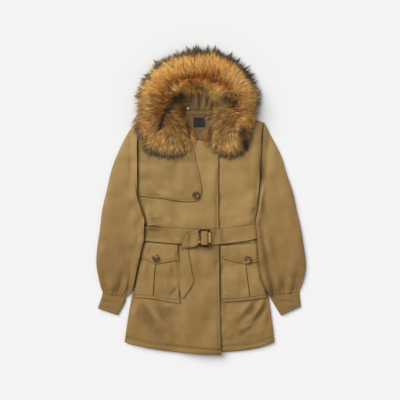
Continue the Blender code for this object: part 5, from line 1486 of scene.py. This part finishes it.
def make_tufts(random, kind, piece):
    """Where the tufts of one kind root and end in one third of the ruff, and their looks."""
    count, *_, lean, _ = TUFTS[kind]
    place = (piece + random.random(count)) / PIECES
    station = fur_station(place)
    low = ease((CHEST_Y - fur_place(station, 0 * station)[0][:, 1]) / CHEST_REACH)
    root, tip = tuft_shares(random, count, kind, low)
    spot, _ = fur_place(station, root)
    aside = np.clip(station + random.normal(size=count) * lean, 0.002, 0.998)
    end, _ = fur_place(aside, tip)
    grey = near_strokes(end, FUR_GREY)
    odd = random.random(count)
    black, pale = odd > 0.95, odd < 0.14 + 0.10 * low
    longer = np.ones(count)
    if kind == "rim":
        spike = (place * SPIKES).astype(int)
        strong = np.random.default_rng(7).random(SPIKES)[spike]
        tip = 0.88 + 0.34 * strong - 0.05 * random.random(count)
        end, _ = fur_place(fur_station((spike + 0.5) / SPIKES), tip)
        black = odd < 0.15 + 0.75 * grey
        pale = ~black
        longer = 0.80 + 0.22 * grey
    elif kind == "wisp":
        black = odd < grey
        pale = ~black
        longer = 1.16 * longer
    elif kind == "fringe":
        black, pale = odd < 0.10 + 0.90 * grey, odd > 0.85
        longer = 1 - 0.4 * low * random.random(count)
    end = tuft_end(random, kind, spot, spot + (end - spot) * longer[:, None], low)
    end[:, 1] = np.minimum(end[:, 1], FUR_TOP)
    if kind == "neck":
        table = np.array(NECK_TUFTS, float)[np.arange(count) % len(NECK_TUFTS)]
        spot, end = [table[:, first:first + 2] + random.normal(size=(count, 2)) * 4
                     for first in (0, 2)]
        root, tip = np.full(count, -0.6), np.full(count, -0.9)
    shade = (0.24 + 0.10 * low) * random.normal(size=count) - 0.03
    lift = random.normal(size=count)
    streak = np.where(black, BLACK_STREAK, np.where(pale, PALE_STREAK, 0))
    return spot, end, root, tip, shade, lift, streak


def unit(vectors):
    return vectors / np.maximum(np.linalg.norm(vectors, axis=1)[:, None], 1e-6)


def make_strands(kind, piece, material):
    """Ribbons that taper to a point, in tufts whose tips draw together."""
    random = np.random.default_rng(1000 + 10 * piece + len(kind))
    spot, end, root, tip, shade, lift, streak = make_tufts(random, kind, piece)
    _, hairs, width, spread, gather, _, _ = TUFTS[kind]
    owner = np.repeat(np.arange(len(root)), hairs)
    count = len(owner)
    start = spot[owner] + random.normal(size=(count, 2)) * spread
    finish = end[owner] + random.normal(size=(count, 2)) * gather
    run = (finish - start) * (0.84 + 0.22 * random.random(count))[:, None]
    bow = (random.normal(size=len(root))[owner] * 0.07
           + random.normal(size=count) * 0.03)[:, None]
    aside = np.stack([-run[:, 1], run[:, 0]], axis=-1) * bow
    own = 0.12 * random.normal(size=count) + shade[owner]
    base = 0.42 + 0.30 * np.exp(-((root[owner] / 0.25) ** 2))
    airy = 2.5 if kind == "neck" else 0.0
    sunk = 0.75 if kind == "under" else 0.0
    steps = (0.0, 0.35, 0.7, 1.0)
    centres = []
    for along in steps:
        place = start + run * along + aside * 4 * along * (1 - along)
        floor, height = fur_height(place)
        rise = base + (1 - base) * ease(0.2 + 0.9 * along) + (0.05 * lift[owner] + 0.03) * along
        rise = rise * (1 - sunk * (0.4 + 0.6 * along))
        centres.append(raised(place, floor + height * rise + airy * along))
    turn = ((random.random(count) - 0.5) * 1.5)[:, None]
    half = 0.5 * width * (0.75 + 0.5 * random.random(count))
    drift = 5.0 * np.stack([np.sin(owner * 1.7), np.cos(owner * 2.3)], axis=-1)
    points, colours = [], []
    for index, (along, taper) in enumerate(zip(steps, (1.0, 0.95, 0.62, 0.0))):
        way = unit(centres[min(index + 1, 3)] - centres[max(index - 1, 0)])
        side = unit(np.cross(way, (0, 0, 1.0)))
        flat = side * np.cos(turn) + np.cross(side, way) * np.sin(turn)
        reach = flat * (half * taper)[:, None]
        colour = fur_colour(centres[index][:, :2] + drift, np.full(count, along),
                            root[owner] + (tip[owner] - root[owner]) * along, own,
                            0.5 + 0.5 * np.sin(owner * 0.9), streak[owner])
        for sign in (1, -1) if taper else (0,):
            points.append(centres[index] + sign * reach)
            colours.append(colour)
    points = np.stack(points, axis=1)
    first = (np.arange(count) * points.shape[1])[:, None]
    faces = [first + (0, 1, 3, 2), first + (2, 3, 5, 4), first + (4, 5, 6)]
    obj = mesh_object(f"fur_{kind}_{piece + 1}", points, faces, material)
    values = np.ones((points.shape[0] * points.shape[1], 4), np.float32)
    values[:, :3] = np.clip(np.stack(colours, axis=1).reshape(-1, 3), 0.004, 1)
    layer = obj.data.color_attributes.new("strand", "FLOAT_COLOR", "POINT")
    layer.data.foreach_set("color", values.ravel())
    return obj


def make_fur(material, backing):
    """The ruff's hair, kind by kind in each third, and the hide under it."""
    for piece in range(PIECES):
        for kind in TUFTS:
            obj = make_strands(kind, piece, material)
            if piece == 0 and kind == "outer":
                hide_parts("fur_trim")
    station, share = np.meshgrid(np.linspace(0, 1, 160), np.linspace(-0.80, 0.70, 25),
                                 indexing="ij")
    spot, _ = fur_place(station.ravel(), share.ravel())
    floor, height = fur_height(spot)
    cover = 0.55 - 0.35 * ease((share.ravel() - 0.30) / 0.40)
    top, bottom = [raised(spot, z).reshape(*share.shape, 3)
                   for z in (floor + cover * height, np.maximum(floor - 1.2, 0.3))]
    shell("fur_skin", top, bottom, backing)


# ---- stage ----
def make_stage():
    """A camera straight above, a floor of paper, two suns and an even sky."""
    scene = bpy.context.scene
    camera = bpy.data.cameras.new("camera")
    camera.lens = 85.0
    camera.sensor_width = 36.0
    camera.sensor_fit = "HORIZONTAL"
    scene.camera = placed("camera", camera)
    scene.camera.location = CAMERA_PLACE

    mesh = bpy.data.meshes.new("floor")
    mesh.from_pydata([(x * FLOOR_HALF, y * FLOOR_HALF, FLOOR_Z)
                      for x, y in ((-1, -1), (1, -1), (1, 1), (-1, 1))], [], [(0, 1, 2, 3)])
    mesh.materials.append(new_material("floor_paper", {
        "Roughness": 0.9, "Base Color": (0.885, 0.885, 0.885, 1.0),
        "Specular IOR Level": 0.0})[0])
    placed("floor", mesh)

    for name, (way, strength, angle) in SUNS.items():
        sun = bpy.data.lights.new(name, "SUN")
        sun.energy = strength
        sun.angle = math.radians(angle)
        x, y, z = np.array(way) / np.linalg.norm(way)
        placed(name, sun).rotation_euler = (0.0, math.acos(z), math.atan2(y, x))
    world = bpy.data.worlds.new("studio")
    world.use_nodes = True
    feed(world.node_tree, world.node_tree.nodes["Background"],
         {"Color": (1.0, 1.0, 1.0, 1.0), "Strength": SKY_STRENGTH})
    scene.world = world
    scene.view_settings.view_transform = "Standard"


make_stage()
TWILL = (0.385, 0.238, 0.080), (0.325, 0.198, 0.063)
# the coat, sleeve and belt twills fade: painted shade, darker further down the coat
COAT_CLOTH = cloth_material("coat_twill", *TWILL, fade=(0.05, -0.45, 0.58))
# the storm flap's twill: a darker copy of the coat's, painted shade
SHADED_FLAP_CLOTH = cloth_material("flap_twill_painted_shade", *[[0.87 * part for part in tone] for tone in TWILL])
SLEEVE_CLOTH = cloth_material("sleeve_twill", *TWILL, fade=(0.16, -0.30, 0.85))
BELT_CLOTH = cloth_material("belt_twill", *TWILL, fade=(0.2, -0.2, 0.3))
# a darker copy of the coat's twill for the facing, tape and loop inside the neck: painted shade
SHADED_FACING_CLOTH = cloth_material("facing_twill_painted_shade", (0.21, 0.125, 0.045), (0.15, 0.088, 0.030))
LINING_CLOTH = cloth_material("hood_lining_satin", (0.23, 0.135, 0.042), (0.15, 0.088, 0.028),
                              roughness=0.42, sheen=0.04)
LABEL_CLOTH = cloth_material("label_ribbon", (0.022, 0.018, 0.015), (0.012, 0.010, 0.009),
                             roughness=0.5, sheen=0.02)
THREAD_COTTON = cloth_material("thread_cotton", (0.44, 0.29, 0.115), (0.36, 0.235, 0.09),
                               thread_mm=0.2, bump=0.1)
RESIN = tortoiseshell_material("tortoiseshell_resin")
BUCKLE_RESIN_HIGHLIT = tortoiseshell_material("buckle_resin_highlit", BUCKLE_CENTRE[1] * MM)
STEEL = metal_material("snap_steel")
FUR = fur_material("fur_strands")
FUR_BACKING = cloth_material("fur_backing", (0.24, 0.10, 0.026), (0.12, 0.05, 0.014), sheen=0.0,
                             roughness=0.8)

make_hood(COAT_CLOTH)
make_body(COAT_CLOTH, SHADED_FACING_CLOTH)
make_hood_inside(SHADED_FACING_CLOTH, LINING_CLOTH, LABEL_CLOTH, STEEL)
make_storm_flap(SHADED_FLAP_CLOTH)
make_pockets(COAT_CLOTH)
make_belt(BELT_CLOTH)
make_buckle(make_belt_end(BELT_CLOTH), BUCKLE_RESIN_HIGHLIT)
make_sleeve("right", SLEEVE_RIGHT_ROWS, FOLDS_SLEEVE_RIGHT, "back_body", SLEEVE_CLOTH)
make_cuff("right", CUFF_RIGHT_ROWS, SLEEVE_CLOTH)
make_sleeve("left", SLEEVE_LEFT_ROWS, FOLDS_SLEEVE_LEFT, "front_left", SLEEVE_CLOTH)
make_cuff("left", CUFF_LEFT_ROWS, SLEEVE_CLOTH)
make_buttons(RESIN)
make_stitching(THREAD_COTTON)
shade_steps()
PILE_UNDER_FUR = softened(PILE, 4.0)
FUR_SMOOTH = smooth_rows(FUR_ROWS, FUR_STATIONS)
FUR_TRAVEL = 0.35 * travelled(FUR_SMOOTH[:, :2]) + 0.65 * travelled(FUR_SMOOTH[:, 4:6])
RUFF = ruff_surface()
make_fur(FUR, FUR_BACKING)
